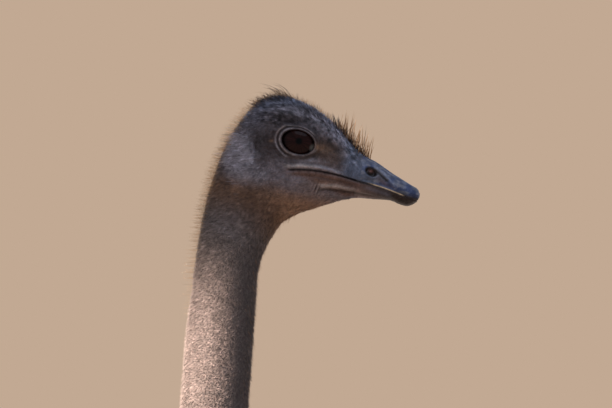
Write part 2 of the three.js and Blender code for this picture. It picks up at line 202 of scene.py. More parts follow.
def hashed(seed, *whole):
    """An even random number from 0 to 1 for each set of whole numbers."""
    mixed = np.int64((seed + 7) * 961748927)
    for part, prime in zip(whole, (73856093, 19349663, 83492791)):
        mixed = mixed ^ part * prime
    mixed = (mixed ^ (mixed >> 13)) * 1274126177
    return ((mixed >> 16) & 0xFFFF) / 65535


def lumps(points, size, seed=0):
    """Smooth random relief from -1 to 1, with lumps about this many millimetres across."""
    q = points / size
    cell = np.floor(q).astype(np.int64)
    f = q - cell
    f = f * f * (3 - 2 * f)
    total = np.zeros(points.shape[:-1])
    for corner in np.ndindex(2, 2, 2):
        at = cell + np.array(corner)
        value = 2 * hashed(seed, at[..., 0], at[..., 1], at[..., 2]) - 1
        total += value * np.prod(np.where(np.array(corner) == 1, f, 1 - f), axis=-1)
    return total


class Form:
    """A row of oval rings with a smooth curve through them. Angle 0 faces +Y, a quarter turn "upper"."""

    def __init__(self, rows):
        plain = (0, 0, 0, 0, 0, 2.0, 0.0, 0.0)
        rows = np.array([tuple(row) + plain[len(row):] for row in rows], float)
        self.last = len(rows) - 1
        self.rows = np.vstack([2 * rows[0] - rows[1], rows, 2 * rows[-1] - rows[-2]])

    def row(self, t):
        """The ring's numbers at station t, by a uniform Catmull-Rom curve."""
        t = np.clip(t, 0, self.last)
        i = np.minimum(t.astype(int), self.last - 1)
        f = (t - i)[..., None]
        a, b, c, d = (self.rows[i + k] for k in range(4))
        return 0.5 * (2 * b + (c - a) * f + (2 * a - 5 * b + 4 * c - d) * f ** 2
                      + (3 * b - a - 3 * c + d) * f ** 3)

    def point(self, t, a):
        """The points on the surface at stations t and angles a."""
        t, a = np.broadcast_arrays(np.asarray(t, float), a)
        ux, uz, lx, lz, half, square, lean, middle = np.moveaxis(self.row(t), -1, 0)
        axis = np.stack([ux - lx, uz - lz], -1)
        rise = np.linalg.norm(axis, axis=-1) / 2
        axis /= 2 * rise[..., None]
        sin, cos = np.sin(a), np.cos(a)
        up = np.sign(sin) * np.abs(sin) ** (2 / square) * rise
        side = np.sign(cos) * np.abs(cos) ** (2 / square) * (1 + lean * sin) * half
        return np.stack([(ux + lx) / 2 + axis[..., 0] * up, middle + side,
                         (uz + lz) / 2 + axis[..., 1] * up], -1)

    def frame_at(self, t, a):
        """The outward normal, the direction of travel (bill to tail), and the direction round the ring."""
        dt, da = 0.03, 0.02
        along = self.point(np.minimum(t + dt, self.last), a) - self.point(np.maximum(t - dt, 0), a)
        around = self.point(t, a + da) - self.point(t, a - da)
        out = unit(np.cross(around, along))
        middle = self.point(t, a) - (self.point(t, 0.0) + self.point(t, math.pi)) / 2
        out *= np.where((out * middle).sum(-1, keepdims=True) < 0, -1, 1)
        return out, unit(along), unit(around)


BODY = Form([(ux + EYE_X, uz + EYE_Z, lx + EYE_X, lz + EYE_Z, *rest)
             for ux, uz, lx, lz, *rest in HEAD_ROWS] + TRUNK_ROWS)
LEG = Form(LEG_ROWS)

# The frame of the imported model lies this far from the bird's own frame, in metres.
SHIFT = np.array([
    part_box("bill_upper")[1][0] - (EYE_X + HEAD_ROWS[0][0]) / 1000,
    (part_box("trunk")[0][1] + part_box("trunk")[1][1]) / 2,
    0.0,
])


def folded(a):
    """The same angle on the bird's left side, for what both sides share."""
    return np.arcsin(np.sin(a))


def mirrored(a, side):
    """An angle of the left side on that side of the bird."""
    return a if side == LEFT else math.pi - a


def wing_edges(u):
    """The angles of a folded wing's upper and lower edge at that share of its length."""
    return 0.98 - 0.36 * u ** 2 - 0.5 * (1 - u) ** 4, -0.14 - 0.3 * np.sin(np.pi * u ** 0.8)


def wing_bulge(t, a):
    """How far a folded wing stands out from the trunk below its feathers."""
    u = np.clip((t - WING[0]) / (WING[1] - WING[0]), 0, 1)
    top, low = wing_edges(u)
    v = (folded(a) - low) / (top - low)
    along = np.sin(np.pi * np.minimum(1, 0.05 + 0.85 * u ** 1.25)) ** 0.6
    across = np.sin(np.pi * np.clip(v, 0, 1)) ** 0.8
    inside = smooth(0, 0.06, u) * smooth(1.0, 0.9, u) * ((v > 0) & (v < 1))
    return 0.75 * (28 + 22 * u) * along * across * inside


def coat_depth(t, a):
    """How deep the coat lies over the skin."""
    # Stations, and below them the coat's depth in millimetres there.
    depth = np.interp(t, (6, 8, 11, 15, 17, 19, 22, 24, 26.4, 28, 31, 34.4, 36, 38),
                      (0, 0.2, 0.8, 1.5, 2.6, 3.2, 3.4, 6, 13, 22, 26, 28, 26, 12))
    under = smooth(-0.3, -1.1, folded(a)) * smooth(26, 28, t)
    return depth * (1 - 0.45 * under)


def eye_distance(x, z):
    """The distance outside the lid opening's edge, in the side view."""
    share = np.maximum(oval(x, z, LID_X, LID_Z, LID_LONG, LID_HIGH, LID_TILT), 1e-3)
    return (share - 1) * np.hypot(x - LID_X, z - LID_Z) / share


def lid_place(x, z):
    """The distance outside the opening's edge in widths of the lids' folds, which are wider behind."""
    return eye_distance(x, z) / (1 + 0.85 * smooth(-3, -15, x))


def lid_share(x, z):
    """How much of the lids' double fold shows: all of it above and behind, little below and in front."""
    return np.clip(smooth(2, 9, z - 0.1 * x) + smooth(-7, -14, x), 0, 1)


def lids(x, y, z):
    """The width |y| of the skin round the eye: lids that fit the eyeball, their folds and the socket."""
    d = eye_distance(x, z)
    reach = np.clip(1 - (x * x + z * z) / LID_DOME ** 2, 0, 1)
    lid = EYE_CENTRE_Y + (EYE_RADIUS[1] + 2.0) * np.sqrt(reach)
    held = smooth(9, 2.5, d)
    width = y * (1 - held) + lid * held
    fold, share = lid_place(x, z), lid_share(x, z)
    width += 0.5 * bell(fold - 0.9, 0.65)
    width -= 0.9 * bell(fold - 2.1, 0.55) * share
    width += 0.6 * bell(fold - 3.3, 0.75) * (0.3 + 0.7 * share)
    width -= 0.7 * bell(fold - 5.0, 0.9)
    ball = EYE_CENTRE_Y + EYE_RADIUS[1] * np.sqrt(np.clip(1 - (x * x + z * z) / EYE_RADIUS[0] ** 2, 0, 1))
    width = np.maximum(width, np.where(d > 0.5, ball + 1.2, 0))
    socket = smooth(-0.1, -1.6, d)
    return width * (1 - socket) + (ball - 6) * socket


def pleats(x, z):
    """Two upright folds of loose skin below the cheek, from -1 in their creases to 1 on their backs.

    A fold comes every 3.6 mm, which is 1.745 radians for each millimetre.
    """
    return np.sin((x - 0.4 * z) * 1.745) * bell(oval(x, z, 17.3, -46.7, 3.8, 4.8), 1.0)


def head_relief(p):
    """How far the head's skin stands out of its plain form, along the surface's own normal."""
    (x, z), y = side_view(p), np.abs(p[..., 1])
    side = smooth(8, 18, y)
    gape = over_gape(x, z)
    mouth = smooth(-13, -6, x) * side
    # The mouth's line, the lips over and under it, and the creases beyond them.
    out = -2.2 * bell(gape, 0.75) * mouth
    out += 1.2 * bell(gape - 3.0, 1.5) * smooth(-17, -8, x) * smooth(44, 24, x) * side
    out += 0.9 * bell(gape + 2.6, 1.5) * mouth
    out -= 0.9 * bell(gape - 6.6, 1.2) * smooth(-18, -6, x) * smooth(40, 24, x) * side
    out -= 0.7 * bell(gape + 6.0, 1.0) * smooth(-10, 2, x) * smooth(60, 40, x) * side
    # The lower jaw's crease and the ridge over it, which fades out before the bill.
    out -= 1.5 * bell(from_line(x, z, JAW), 1.4) * side
    out += 0.9 * bell(from_line(x, z, JAW_RIDGE), 1.8) * side * smooth(66, 44, x)
    # The hollow between eye and bill, the brow and the dip under it.
    out -= 2.4 * bell(oval(x, z, 33, -9, 13, 8, -0.5), 1.0) * side
    out += 1.6 * bell(from_line(x, z, np.array([(-16, 27), (4, 27), (22, 18), (38, 2)])), 4.0) * side
    out -= 0.9 * bell(oval(x, z, 0, 20, 18, 3.4, -0.15), 1.0) * side
    # Two low rims before and behind the ear, the dip between them and the opening.
    ear_x = x - EAR[0] - 0.10 * (z - EAR[1])
    ear = smooth(18, 9, np.abs(z - EAR[1])) * side
    out += (0.4 * bell(ear_x + 5, 3.0) + 0.4 * bell(ear_x - 5, 2.5) - 0.8 * bell(ear_x, 2.0)) * ear
    out -= 3.0 * bell(oval(x, z, *EAR, 1.6, 4.2), 1.0) * side
    # The pleats and the fullness of the cheek.
    out += 0.8 * pleats(x, z) * side
    out += 1.5 * bell(oval(x, z, 8, -38, 26, 7), 1.0) * side
    return out


def skin_point(t, a):
    """The skin at station t and angle a, with its outward normal and its direction of travel."""
    out, along, _ = BODY.frame_at(t, a)
    p = BODY.point(t, a) - out * coat_depth(t, a)[..., None]
    head = smooth(HEAD_END - 0.5, HEAD_END - 2.5, t)
    near = t < HEAD_END
    # The skin tucks in below the horn where the bill begins.
    tuck = smooth(BILL_END - 0.03, BILL_END - 0.09, t)
    rise = wing_bulge(t, a) - 1.6 * tuck + 0.08 * (t < BILL_END + 0.6)
    if near.any():
        rise = rise + np.where(near, head * head_relief(p), 0)
        fine = 0.45 * lumps(p, 3.1, 1) + 0.28 * lumps(p, 1.6, 2)
        horn = smooth(52, 42, p[..., 0] - EYE_X)
        rise = rise + head * fine * (0.15 + 0.85 * horn)
    trunk = smooth(NEAR_EDGE, NEAR_EDGE + 3, t)
    rise = rise + trunk * 1.5 * lumps(p, 46, 3) + (1 - head) * 0.5 * lumps(p, 11, 4)
    p = p + out * rise[..., None]
    x, z = side_view(p)
    round_eye = near & (np.hypot(x, z) < EYE_REACH)
    width = np.where(round_eye, lids(x, np.abs(p[..., 1]), z), np.abs(p[..., 1]))
    p[..., 1] = np.sign(p[..., 1]) * width
    return p, out, along


# ---------------------------------------------------------------------------------- sizes and colours


def colour(code):
    """An sRGB hex colour as linear numbers."""
    parts = (int(code[i:i + 2], 16) / 255 for i in (1, 3, 5))
    return tuple(c / 12.92 if c <= 0.04045 else ((c + 0.055) / 1.055) ** 2.4 for c in parts)


def hue(name, code, description):
    """A colour of the panel, given as an sRGB hex colour."""
    return bpy.props.FloatVectorProperty(name=name, description=description, size=3, min=0, max=1,
                                         subtype='COLOR', default=colour(code))


def length(name, millimetres, description):
    """A length of the panel, which keeps it in metres."""
    return bpy.props.FloatProperty(name=name, description=description, default=millimetres / 1000,
                                   min=0, precision=5, subtype='DISTANCE', unit='LENGTH')


def number(name, value, description):
    """A count of the panel."""
    return bpy.props.IntProperty(name=name, description=description, default=value, min=0)


class OstrichSizes(bpy.types.PropertyGroup):
    """Lengths and counts of what covers the bird."""
    stubble: length("Face stubble", 2.6, "Length of the short hairs on the face")
    bristle: length("Bristles", 15, "Length of the bristles on the crown and forehead")
    down: length("Neck down", 4.2, "Length of the woolly strands on the upper neck")
    low_down: length("Lower neck down", 8.5, "Length of the strands where the neck meets the chest")
    feather: length("Body feather", 105, "Length of the loose feathers on the trunk")
    plume: length("Wing plume", 250, "Length of the drooping plumes along a wing")
    tail_plume: length("Tail plume", 240, "Length of the tail's plumes")
    stubble_count: number("Stubble hairs", 21000, "Short hairs on the face")
    bristle_count: number("Bristle count", 2700, "Long bristles on the head and nape")
    down_count: number("Down strands", 88000, "Strands on the upper neck")
    middle_down_count: number("Middle down strands", 42000, "Strands on the middle of the neck")
    low_down_count: number("Lower down strands", 30000, "Strands on the lower neck")
    feather_count: number("Body feathers", 5200, "Loose feathers on the trunk")
    plume_count: number("Wing plumes", 74, "Drooping plumes on each wing")
    covert_count: number("Wing coverts", 1050, "Smaller feathers on each wing")
    tail_plume_count: number("Tail plumes", 110, "Plumes of the tail")


class OstrichColours(bpy.types.PropertyGroup):
    """Colours of the skin and coat."""
    # The crown's blue is partly painted skylight from above.
    crown: hue("Crown", "#60687A", "Blue-grey skin of the crown and brow")
    brow: hue("Round the eye", "#392F2E", "Dark skin over and behind the eye")
    cheek: hue("Cheek", "#726B71", "Grey skin of the cheek")
    ear_patch: hue("Ear patch", "#B2AEB9", "Pale hair behind the ear")
    # Its darkness is partly painted shade of the hollow.
    lores: hue("Lores", "#45342A", "Brown hollow in front of the eye")
    canthus: hue("Eye corner", "#80644F", "Tan skin at the eye's front corner")
    lid: hue("Lid rim", "#9A8F90", "Pale rim of the lids")
    gape: hue("Gape", "#A99C96", "Pale fleshy corner of the mouth")
    jaw: hue("Lower jaw", "#634A40", "Red-brown skin of the lower jaw")
    throat: hue("Throat", "#8E6F5A", "Brown hairy throat")
    horn: hue("Horn", "#545968", "Blue-grey horn of the bill")
    horn_low: hue("Lower horn", "#1E110E", "Near-black horn under the bill's tip")
    horn_edge: hue("Horn edge", "#EBD2B0", "Worn pale cutting edge of the bill")
    down: hue("Down", "#7F7470", "Grey-buff down of the neck")
    feather: hue("Body feathers", "#6B5D52", "Grey-brown feathers of the trunk")
    plume: hue("Plumes", "#AEA090", "Dirty white plumes of wings and tail")
    thigh: hue("Thigh", "#A38C82", "Bare pinkish grey thigh")
    scale: hue("Leg scales", "#857469", "Grey-brown scales of the shank and toes")
    bristle: hue("Bristle", "#2E2524", "Dark bristles of the head")
    # The fringe's colour is paler than the hairs' own, partly a painted glow of back light through them.
    fringe: hue("Nape fringe", "#AD8A66", "Golden hairs that stand out of the nape")
    iris: hue("Iris", "#210E0C", "Dark brown iris")
    third_lid: hue("Third lid", "#66645F", "Grey fold at the front corner of each eye")


def options():
    """The sizes and counts that the panel shows."""
    return bpy.context.scene.ostrich_sizes


def shade_of(name):
    """One of the panel's colours."""
    return np.array(getattr(bpy.context.scene.ostrich_colours, name)[:])


def mm(metres):
    """Metres, as the panel keeps them, in millimetres."""
    return metres * 1000


def cover(result, shade, mask):
    """Paints a shade over the colours in result, as much as the mask says at each of them."""
    share = np.clip(mask, 0, 1)[..., None]
    result[:] = result * (1 - share) + shade * share


def markings(p):
    """The colour of skin and coat at points in the bird's frame, the same for both."""
    (x, z), y = side_view(p), np.abs(p[..., 1])
    side = smooth(6, 16, y)
    result = np.broadcast_to(shade_of("crown"), p.shape).copy()

    def paint(name, mask):
        cover(result, shade_of(name), mask)

    # Grey cheek, dark skin round the eye and up its brow, a pale band over it that is a painted highlight,
    # and the crown's dark cap.
    paint("cheek", smooth(14, -10, z + 0.3 * x) * smooth(58, 40, x))
    paint("brow", smooth(1.6, 1.0, oval(x, z, -4, 7, 27, 23, -0.15)) * side * 0.9)
    paint("bristle", bell(oval(x, z, -2, 22, 22, 7.5, -0.2), 1.0) * side * 0.6)
    paint("cheek", smooth(1.5, 0.6, oval(x, z, -38, 20, 15, 13, 0.5)) * side * 0.6)
    paint("brow", smooth(1.5, 0.6, oval(x, z, -33, -2, 14, 18, 0.1)) * side * 0.6)
    # Painted highlight: a pale band along the top of the brow, where light from above falls.
    paint("ear_patch", bell(from_line(x, z, BROW_HIGHLIGHT_BAND), 5.5) * side * 0.36)
    cap = smooth(36, 41, z - 0.35 * np.maximum(x + 14, 0) + 0.3 * np.maximum(-26 - x, 0))
    paint("bristle", cap * smooth(2, -8, x) * smooth(-46, -36, x) * 0.55)
    paint("cheek", smooth(1.5, 0.5, oval(x, z, 33, 3, 15, 12, -0.8)) * side * 0.5)
    # The ragged pale patch behind the ear, painted shade in the ear's dip, and the brown throat below the
    # cheek.
    ragged = 7 * lumps(p * np.array([0.5, 1, 1]), 5.0, 31)
    paint("ear_patch", smooth(1.4, 0.65, oval(x + ragged, z, *EAR_PATCH)) * 0.96)
    paint("ear_patch", smooth(1.3, 0.6, oval(x, z, -48, -38, 19, 10, 0.3)) * 0.55)
    # Painted shade: a dark band down the dip round the ear's opening.
    paint("brow", bell(x - EAR[0] - 1, 4.5) * smooth(14, 6, np.abs(z - EAR[1] - 2)) * side * 0.2)
    paint("throat", smooth(-40, -64, z + 0.25 * x) * smooth(66, 52, x))
    paint("bristle", bell(oval(x, z, -36, -73, 18, 13), 1.0) * 0.22)
    paint("cheek", smooth(1.5, 0.5, oval(x, z, -1, -42, 18, 8, -0.1)) * side * 0.7)
    # The brown hollow between eye and bill, its darkness partly painted shade, with its dark stroke, and
    # tan spots at the eye's corners.
    # Brown skin, darkened in part as painted shade of the hollow.
    paint("lores", smooth(1.7, 0.5, oval(x, z, 29, -11, 19, 12, -0.45)) * side * 0.92)
    paint("canthus", bell(oval(x, z, 25, -7.5, 8, 4, -0.3), 1.0) * side * 0.35)
    paint("bristle", bell(from_line(x, z, LORE_STROKE), 2.6) * side * 0.5)
    paint("canthus", bell(oval(x, z, -27.5, 0.5, 1.9, 1.5), 1.0) * side * 0.7)
    # Above the mouth: a painted highlight on the fold under the eye, the fleshy corner of the gape, and a
    # painted highlight along the lip.
    gape = over_gape(x, z)
    # Painted highlight: a pale bluish band on the fold under the eye.
    paint("ear_patch", bell(oval(x, z, 9, -19, 15, 3.4, -0.1), 1.0) * side * 0.3)
    paint("gape", bell(gape - 3.6, 1.7) * smooth(-18, -9, x) * smooth(30, 8, x) * side * 0.75)
    # Painted highlight: a pale stripe along the upper lip, just over the mouth's line.
    paint("ear_patch", bell(oval(x, z, 34, -29.3, 15, 1.6, -0.28), 1.0) * side * 0.4)
    # Below it: the red-brown jaw, which reaches further down in front, its ridge and creases, the pleats,
    # with painted highlight on the ridge and the pleats' backs and painted shade in the jaw's crease and
    # the pleats' creases.
    deep = np.interp(x, (0, 30, 45, 60), (5, 15, 18, 26))
    low = np.maximum(side, smooth(45, 60, x))
    paint("jaw", smooth(1, -1, gape) * smooth(-deep - 5, -deep + 2, gape) * smooth(-20, 2, x) * low * 0.88)
    paint("throat", 0.25 * bell(oval(x, z, 18, -45, 17, 6), 1.0))
    paint("horn_low", bell(from_line(x, z, JAW_FOLD), 1.7) * side * 0.3)
    # The ridge is pale skin with a painted highlight on it.
    paint("gape", bell(from_line(x, z, JAW_RIDGE), 2.2) * side * 0.66 * smooth(70, 40, x))
    # Painted shade: the crease under the jaw's ridge darkened.
    paint("horn_low", bell(from_line(x, z, JAW), 1.7) * side * 0.6)
    # Painted shade in the pleats' creases and painted highlight on their backs.
    paint("horn_low", np.maximum(-pleats(x, z), 0) * side * 0.9)
    paint("gape", np.maximum(pleats(x, z), 0) * side * 0.4)
    # The lids' pale rims, painted shade in the crease between them, and painted shade inside the opening.
    fold, share = lid_place(x, z), lid_share(x, z)
    near = smooth(8, 6, fold) * side
    paint("brow", bell(fold - 3.4, 2.2) * near * (1 - share) * 0.7)
    paint("canthus", bell(oval(x, z, 18.2, -6.2, 2.4, 3.0), 1.0) * side * 0.8)
    paint("lid", bell(fold - 0.9, 0.42) * near * (0.35 + 0.4 * smooth(8, -8, x)))
    # Painted shade: the crease between the lids' folds darkened.
    paint("bristle", bell(fold - 2.0, 0.5) * near * (0.15 + 0.75 * share))
    paint("lid", bell(fold - 3.1, 0.4) * near * share * 0.6)
    # Painted shade: the skin darkened where it turns into the opening round the eyeball.
    paint("bristle", smooth(0.3, -0.7, fold) * side)
    paint("lid", bell(oval(x, z, 14.8, -10.2, 3.6, 1.2, 0.6), 1.0) * side * 0.5)
    # The bill's horn, with slanting strokes at its base, its dark lower half, and painted shade along the
    # mouth's line.
    above = smooth(-1.0, 1.0, gape)
    front = smooth(-10, 6, x - np.interp(z, (-52, -34, -20, -8, 2), (52, 44, 48, 56, 64)))
    paint("horn", above * front)
    strokes = lumps(np.stack([0.78 * x - 0.62 * z, 0.4 * p[..., 1], 0.2 * x + 0.25 * z], -1), 2.4, 31)
    paint("bristle", 0.55 * smooth(0.0, 0.3, strokes) * bell(oval(x, z, 57, -13, 12, 9), 1.0))
    paint("ear_patch", 0.25 * smooth(-0.05, -0.35, strokes) * bell(oval(x, z, 57, -15, 13, 10), 1.0))
    paint("bristle", bell(from_line(x, z, np.array([(44, 9), (53, -1), (60, -8)])), 3.2) * 0.7)
    paint("horn_low", smooth(2.5, -2.5, gape) * smooth(56, 94, x))
    # Painted shade: a dark line where the jaws meet.
    paint("horn_low", bell(gape + 0.2, 1.05) * smooth(-15, -8, x) * smooth(84, 72, x) * side * 0.97)
    # The neck, paler at the nape and darker along the throat.
    paint("down", smooth(-48, -96, z + 0.6 * (x + 60)))
    paint("ear_patch", bell(oval(x, z, -64, -80, 22, 18), 1.0) * 0.22)
    paint("brow", smooth(-80, -54, x) * smooth(-90, -115, z) * smooth(-330, -270, z) * 0.3)
    # The trunk with pale wing ends and tail, and the legs.
    paint("feather", smooth(1300, 1215, p[..., 2] + 0.25 * (p[..., 0] - 380)))
    body = smooth(1330, 1250, p[..., 2])
    wing_low = smooth(-60, -180, p[..., 0]) * smooth(1120, 1010, p[..., 2]) * smooth(150, 190, y)
    paint("plume", body * wing_low * 0.55)
    paint("plume", body * smooth(-440, -490, p[..., 0]) * 0.8)
    paint("thigh", smooth(905, 870, p[..., 2]) * smooth(30, 60, y))
    paint("scale", smooth(560, 500, p[..., 2]))
    return result * fleck(p, x, z)[..., None]


def fleck(p, x, z):
    """Light and dark flecks: strong and round on the crown, drawn out backwards behind the ear."""
    head = smooth(-150, -110, z)
    streaky = smooth(-36, -46, x)
    grains = 0.8 * lumps(p, 3.2, 21) + 0.6 * lumps(p, 1.9, 22)
    streaks = 0.9 * lumps(p * np.array([0.22, 1, 1]), 1.7, 24) + 0.3 * lumps(p, 3.0, 25)
    pattern = grains * (1 - streaky) + streaks * streaky
    crown = smooth(6, 24, z + 0.75 * np.maximum(x - 8, 0)) * (1 - streaky)
    face = smooth(66, 54, x)
    calm = smooth(1.5, 0.9, oval(x, z, *EAR_PATCH))
    amount = face * (0.18 + 0.5 * crown) * (1 - 0.4 * calm) * head + 0.12 * (1 - head)
    return np.clip(1 + amount * 1.6 * pattern + 0.16 * head * lumps(p, 8.0, 23), 0.25, 2.4)


# -------------------------------------------------------------------------------------- mesh making


def angle_table(sides=330):
    """Angles round the head, closest together on the cheeks and eyes, from the belly line round."""
    fine = np.linspace(-math.pi / 2, 1.5 * math.pi, 4001)
    dense = 1 + 1.6 * smooth(1.05, 0.75, np.abs(folded(fine) - 0.08))
    share = np.concatenate([[0], np.cumsum((dense[1:] + dense[:-1]) / 2)])
    return np.interp(np.linspace(0, share[-1], sides + 1), share, fine)


def travel_table():
    """How far along the body each station lies from the bill's tip, in millimetres."""
    t = np.linspace(0, BODY.last, 6001)
    rows = BODY.row(t)
    steps = np.hypot(np.diff(rows[:, [0, 2]], axis=0), np.diff(rows[:, [1, 3]], axis=0)).mean(1)
    return t, np.concatenate([[0], np.cumsum(steps)])


def station_table():
    """The skin's rings from the bill to the tail, closest together at the eye."""
    t, travel = TRAVEL
    # How many millimetres apart the rings are at these stations.
    spacing = np.interp(t, (6, 8.2, 8.7, 11.3, 11.8, 14.5, 16, 21, 23, 27, 38),
                        (0.75, 0.75, 0.55, 0.55, 0.8, 1.0, 2.2, 2.6, 4.5, 8.5, 8.5))
    rings = np.concatenate([[0], np.cumsum(np.diff(travel) / spacing[1:])])
    first = np.interp(BILL_END - 0.1, t, rings)
    return np.interp(np.linspace(first, rings[-1], int(rings[-1] - first) + 1), rings, t)


TRAVEL = travel_table()
ANGLES = angle_table()
STATIONS = station_table()
BODY_MAP = (0.0, 0.0, 1.0, 0.84)        # the body's place on the skin's map
LEG_MAP_LOW, LEG_STRIPS = 0.86, 6       # legs and toes have strips side by side above it


def unwrapped(t, a):
    """Where a station and angle of the body lie on the skin's map."""
    a = (a + math.pi / 2) % (2 * math.pi) - math.pi / 2
    u = np.interp(a, ANGLES, np.linspace(0, 1, len(ANGLES)))
    v = np.interp(t, STATIONS, np.linspace(0, 1, len(STATIONS)))
    return np.stack([BODY_MAP[0] + u * (BODY_MAP[2] - BODY_MAP[0]),
                     BODY_MAP[1] + v * (BODY_MAP[3] - BODY_MAP[1])], -1)


def build_mesh(name, points, corners, starts, corner_map=None, tint=None):
    """A smooth-shaded mesh from points in the bird's frame, face corners and each face's first corner."""
    mesh = bpy.data.meshes.new(name)
    mesh.vertices.add(len(points))
    mesh.vertices.foreach_set("co", (points / 1000 + SHIFT).astype(np.float32).ravel())
    mesh.loops.add(len(corners))
    mesh.loops.foreach_set("vertex_index", corners.astype(np.int32))
    mesh.polygons.add(len(starts))
    mesh.polygons.foreach_set("loop_start", starts.astype(np.int32))
    mesh.update(calc_edges=True)
    if corner_map is not None:
        mesh.uv_layers.new(name="OFBake").data.foreach_set("uv", corner_map.astype(np.float32).ravel())
    if tint is not None:
        set_markings(mesh, tint)
    mesh.polygons.foreach_set("use_smooth", np.ones(len(starts), bool))
    return mesh


def set_markings(mesh, tint):
    """Gives each point of the mesh its own colour."""
    attribute = mesh.color_attributes.new("markings", 'FLOAT_COLOR', 'POINT')
    rgba = np.ones((len(tint), 4), np.float32)
    rgba[:, :3] = tint
    attribute.data.foreach_set("color", rgba.ravel())


def linked(name, data):
    """A new object in the scene."""
    made = bpy.data.objects.new(name, data)
    bpy.context.scene.collection.objects.link(made)
    return made


def place(name, mesh, material, nodes=()):
    piece = linked(name, mesh)
    mesh.materials.append(material)
    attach(piece, "root")
    if nodes:
        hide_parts(*nodes)
    return piece


def tube(points, box=(0, 0, 1, 1)):
    """A closed tube of rings (ring, side, xyz) with a fan over each end: points, corners, starts, map."""
    rings, sides, _ = points.shape
    ends = points[[0, -1]].mean(1)
    every = np.concatenate([points.reshape(-1, 3), ends])
    i, j = np.meshgrid(np.arange(rings - 1), np.arange(sides), indexing='ij')
    k = (j + 1) % sides
    quads = np.stack([i * sides + j, i * sides + k, (i + 1) * sides + k, (i + 1) * sides + j], -1)
    u = np.stack([j, j + 1, j + 1, j], -1) / sides
    v = np.stack([i, i, i + 1, i + 1], -1) / (rings - 1)
    side = np.arange(sides)
    after = (side + 1) % sides
    first = np.stack([np.full(sides, rings * sides), after, side], -1)
    last = np.stack([np.full(sides, rings * sides + 1), (rings - 1) * sides + side,
                     (rings - 1) * sides + after], -1)
    fan_u = np.stack([(side + 0.5), (side + 1), side], -1) / sides
    corners = np.concatenate([quads.ravel(), first.ravel(), last.ravel()])
    starts = np.concatenate([np.arange(quads.size // 4) * 4,
                             quads.size + np.arange(2 * sides) * 3])
    flat_u = np.concatenate([u.ravel(), fan_u.ravel(), fan_u[:, [0, 2, 1]].ravel()])
    flat_v = np.concatenate([v.ravel(), np.zeros(first.size), np.ones(last.size)])
    corner_map = np.stack([box[0] + flat_u * (box[2] - box[0]), box[1] + flat_v * (box[3] - box[1])], -1)
    a, b, c = (every[quads[..., n].ravel()] for n in (0, 1, 2))
    if np.einsum('ij,ij->', a - every.mean(0), np.cross(b - a, c - a)) < 0:
        count = np.diff(np.append(starts, len(corners)))
        order = np.repeat(starts, count) + (np.repeat(count, count) - 1) - (
            np.arange(len(corners)) - np.repeat(starts, count))
        corners, corner_map = corners[order], corner_map[order]
    return every, corners, starts, corner_map


# ---------------------------------------------------------------------------------------- materials


def node(tree, kind, links=None, **settings):
    """Adds a node: settings are its own properties, links its inputs' values or the sockets they get."""
    made = tree.nodes.new(kind)
    for name, value in settings.items():
        setattr(made, name, value)
    for name, value in (links or {}).items():
        if isinstance(value, bpy.types.NodeSocket):
            tree.links.new(value, made.inputs[name])
        else:
            made.inputs[name].default_value = value
    return made


def new_material(name):
    """A material with no nodes yet, and its node tree."""
    material = bpy.data.materials.new(name)
    material.use_nodes = True
    material.node_tree.nodes.clear()
    return material, material.node_tree


def finish(tree, links, **shader):
    """Ends a material in one Principled shader."""
    surface = node(tree, 'ShaderNodeBsdfPrincipled', {**links, **shader})
    node(tree, 'ShaderNodeOutputMaterial', {"Surface": surface.outputs[0]})


WAVE_LENGTH = 2 * math.pi / 20      # how long one wave of the wave texture is at scale 1, in metres


def per_metre(millimetres):
    """A texture scale that repeats once in this many millimetres."""
    return 1000 / millimetres


def varied(tree, base, size, low, high, where, detail=3.0):
    """The base colour made darker and lighter by noise with grains of this many millimetres."""
    grain = node(tree, 'ShaderNodeTexNoise', {"Vector": where, "Scale": per_metre(size), "Detail": detail})
    amount = node(tree, 'ShaderNodeMapRange', {"Value": grain.outputs["Fac"], "From Min": 0.3,
                                               "From Max": 0.7, "To Min": low, "To Max": high})
    grey = node(tree, 'ShaderNodeCombineColor', {"Red": amount.outputs[0], "Green": amount.outputs[0],
                                                 "Blue": amount.outputs[0]})
    mixed = node(tree, 'ShaderNodeMix', {0: 1.0, 6: base, 7: grey.outputs[0]},
                 data_type='RGBA', blend_type='MULTIPLY')
    return mixed.outputs[2]


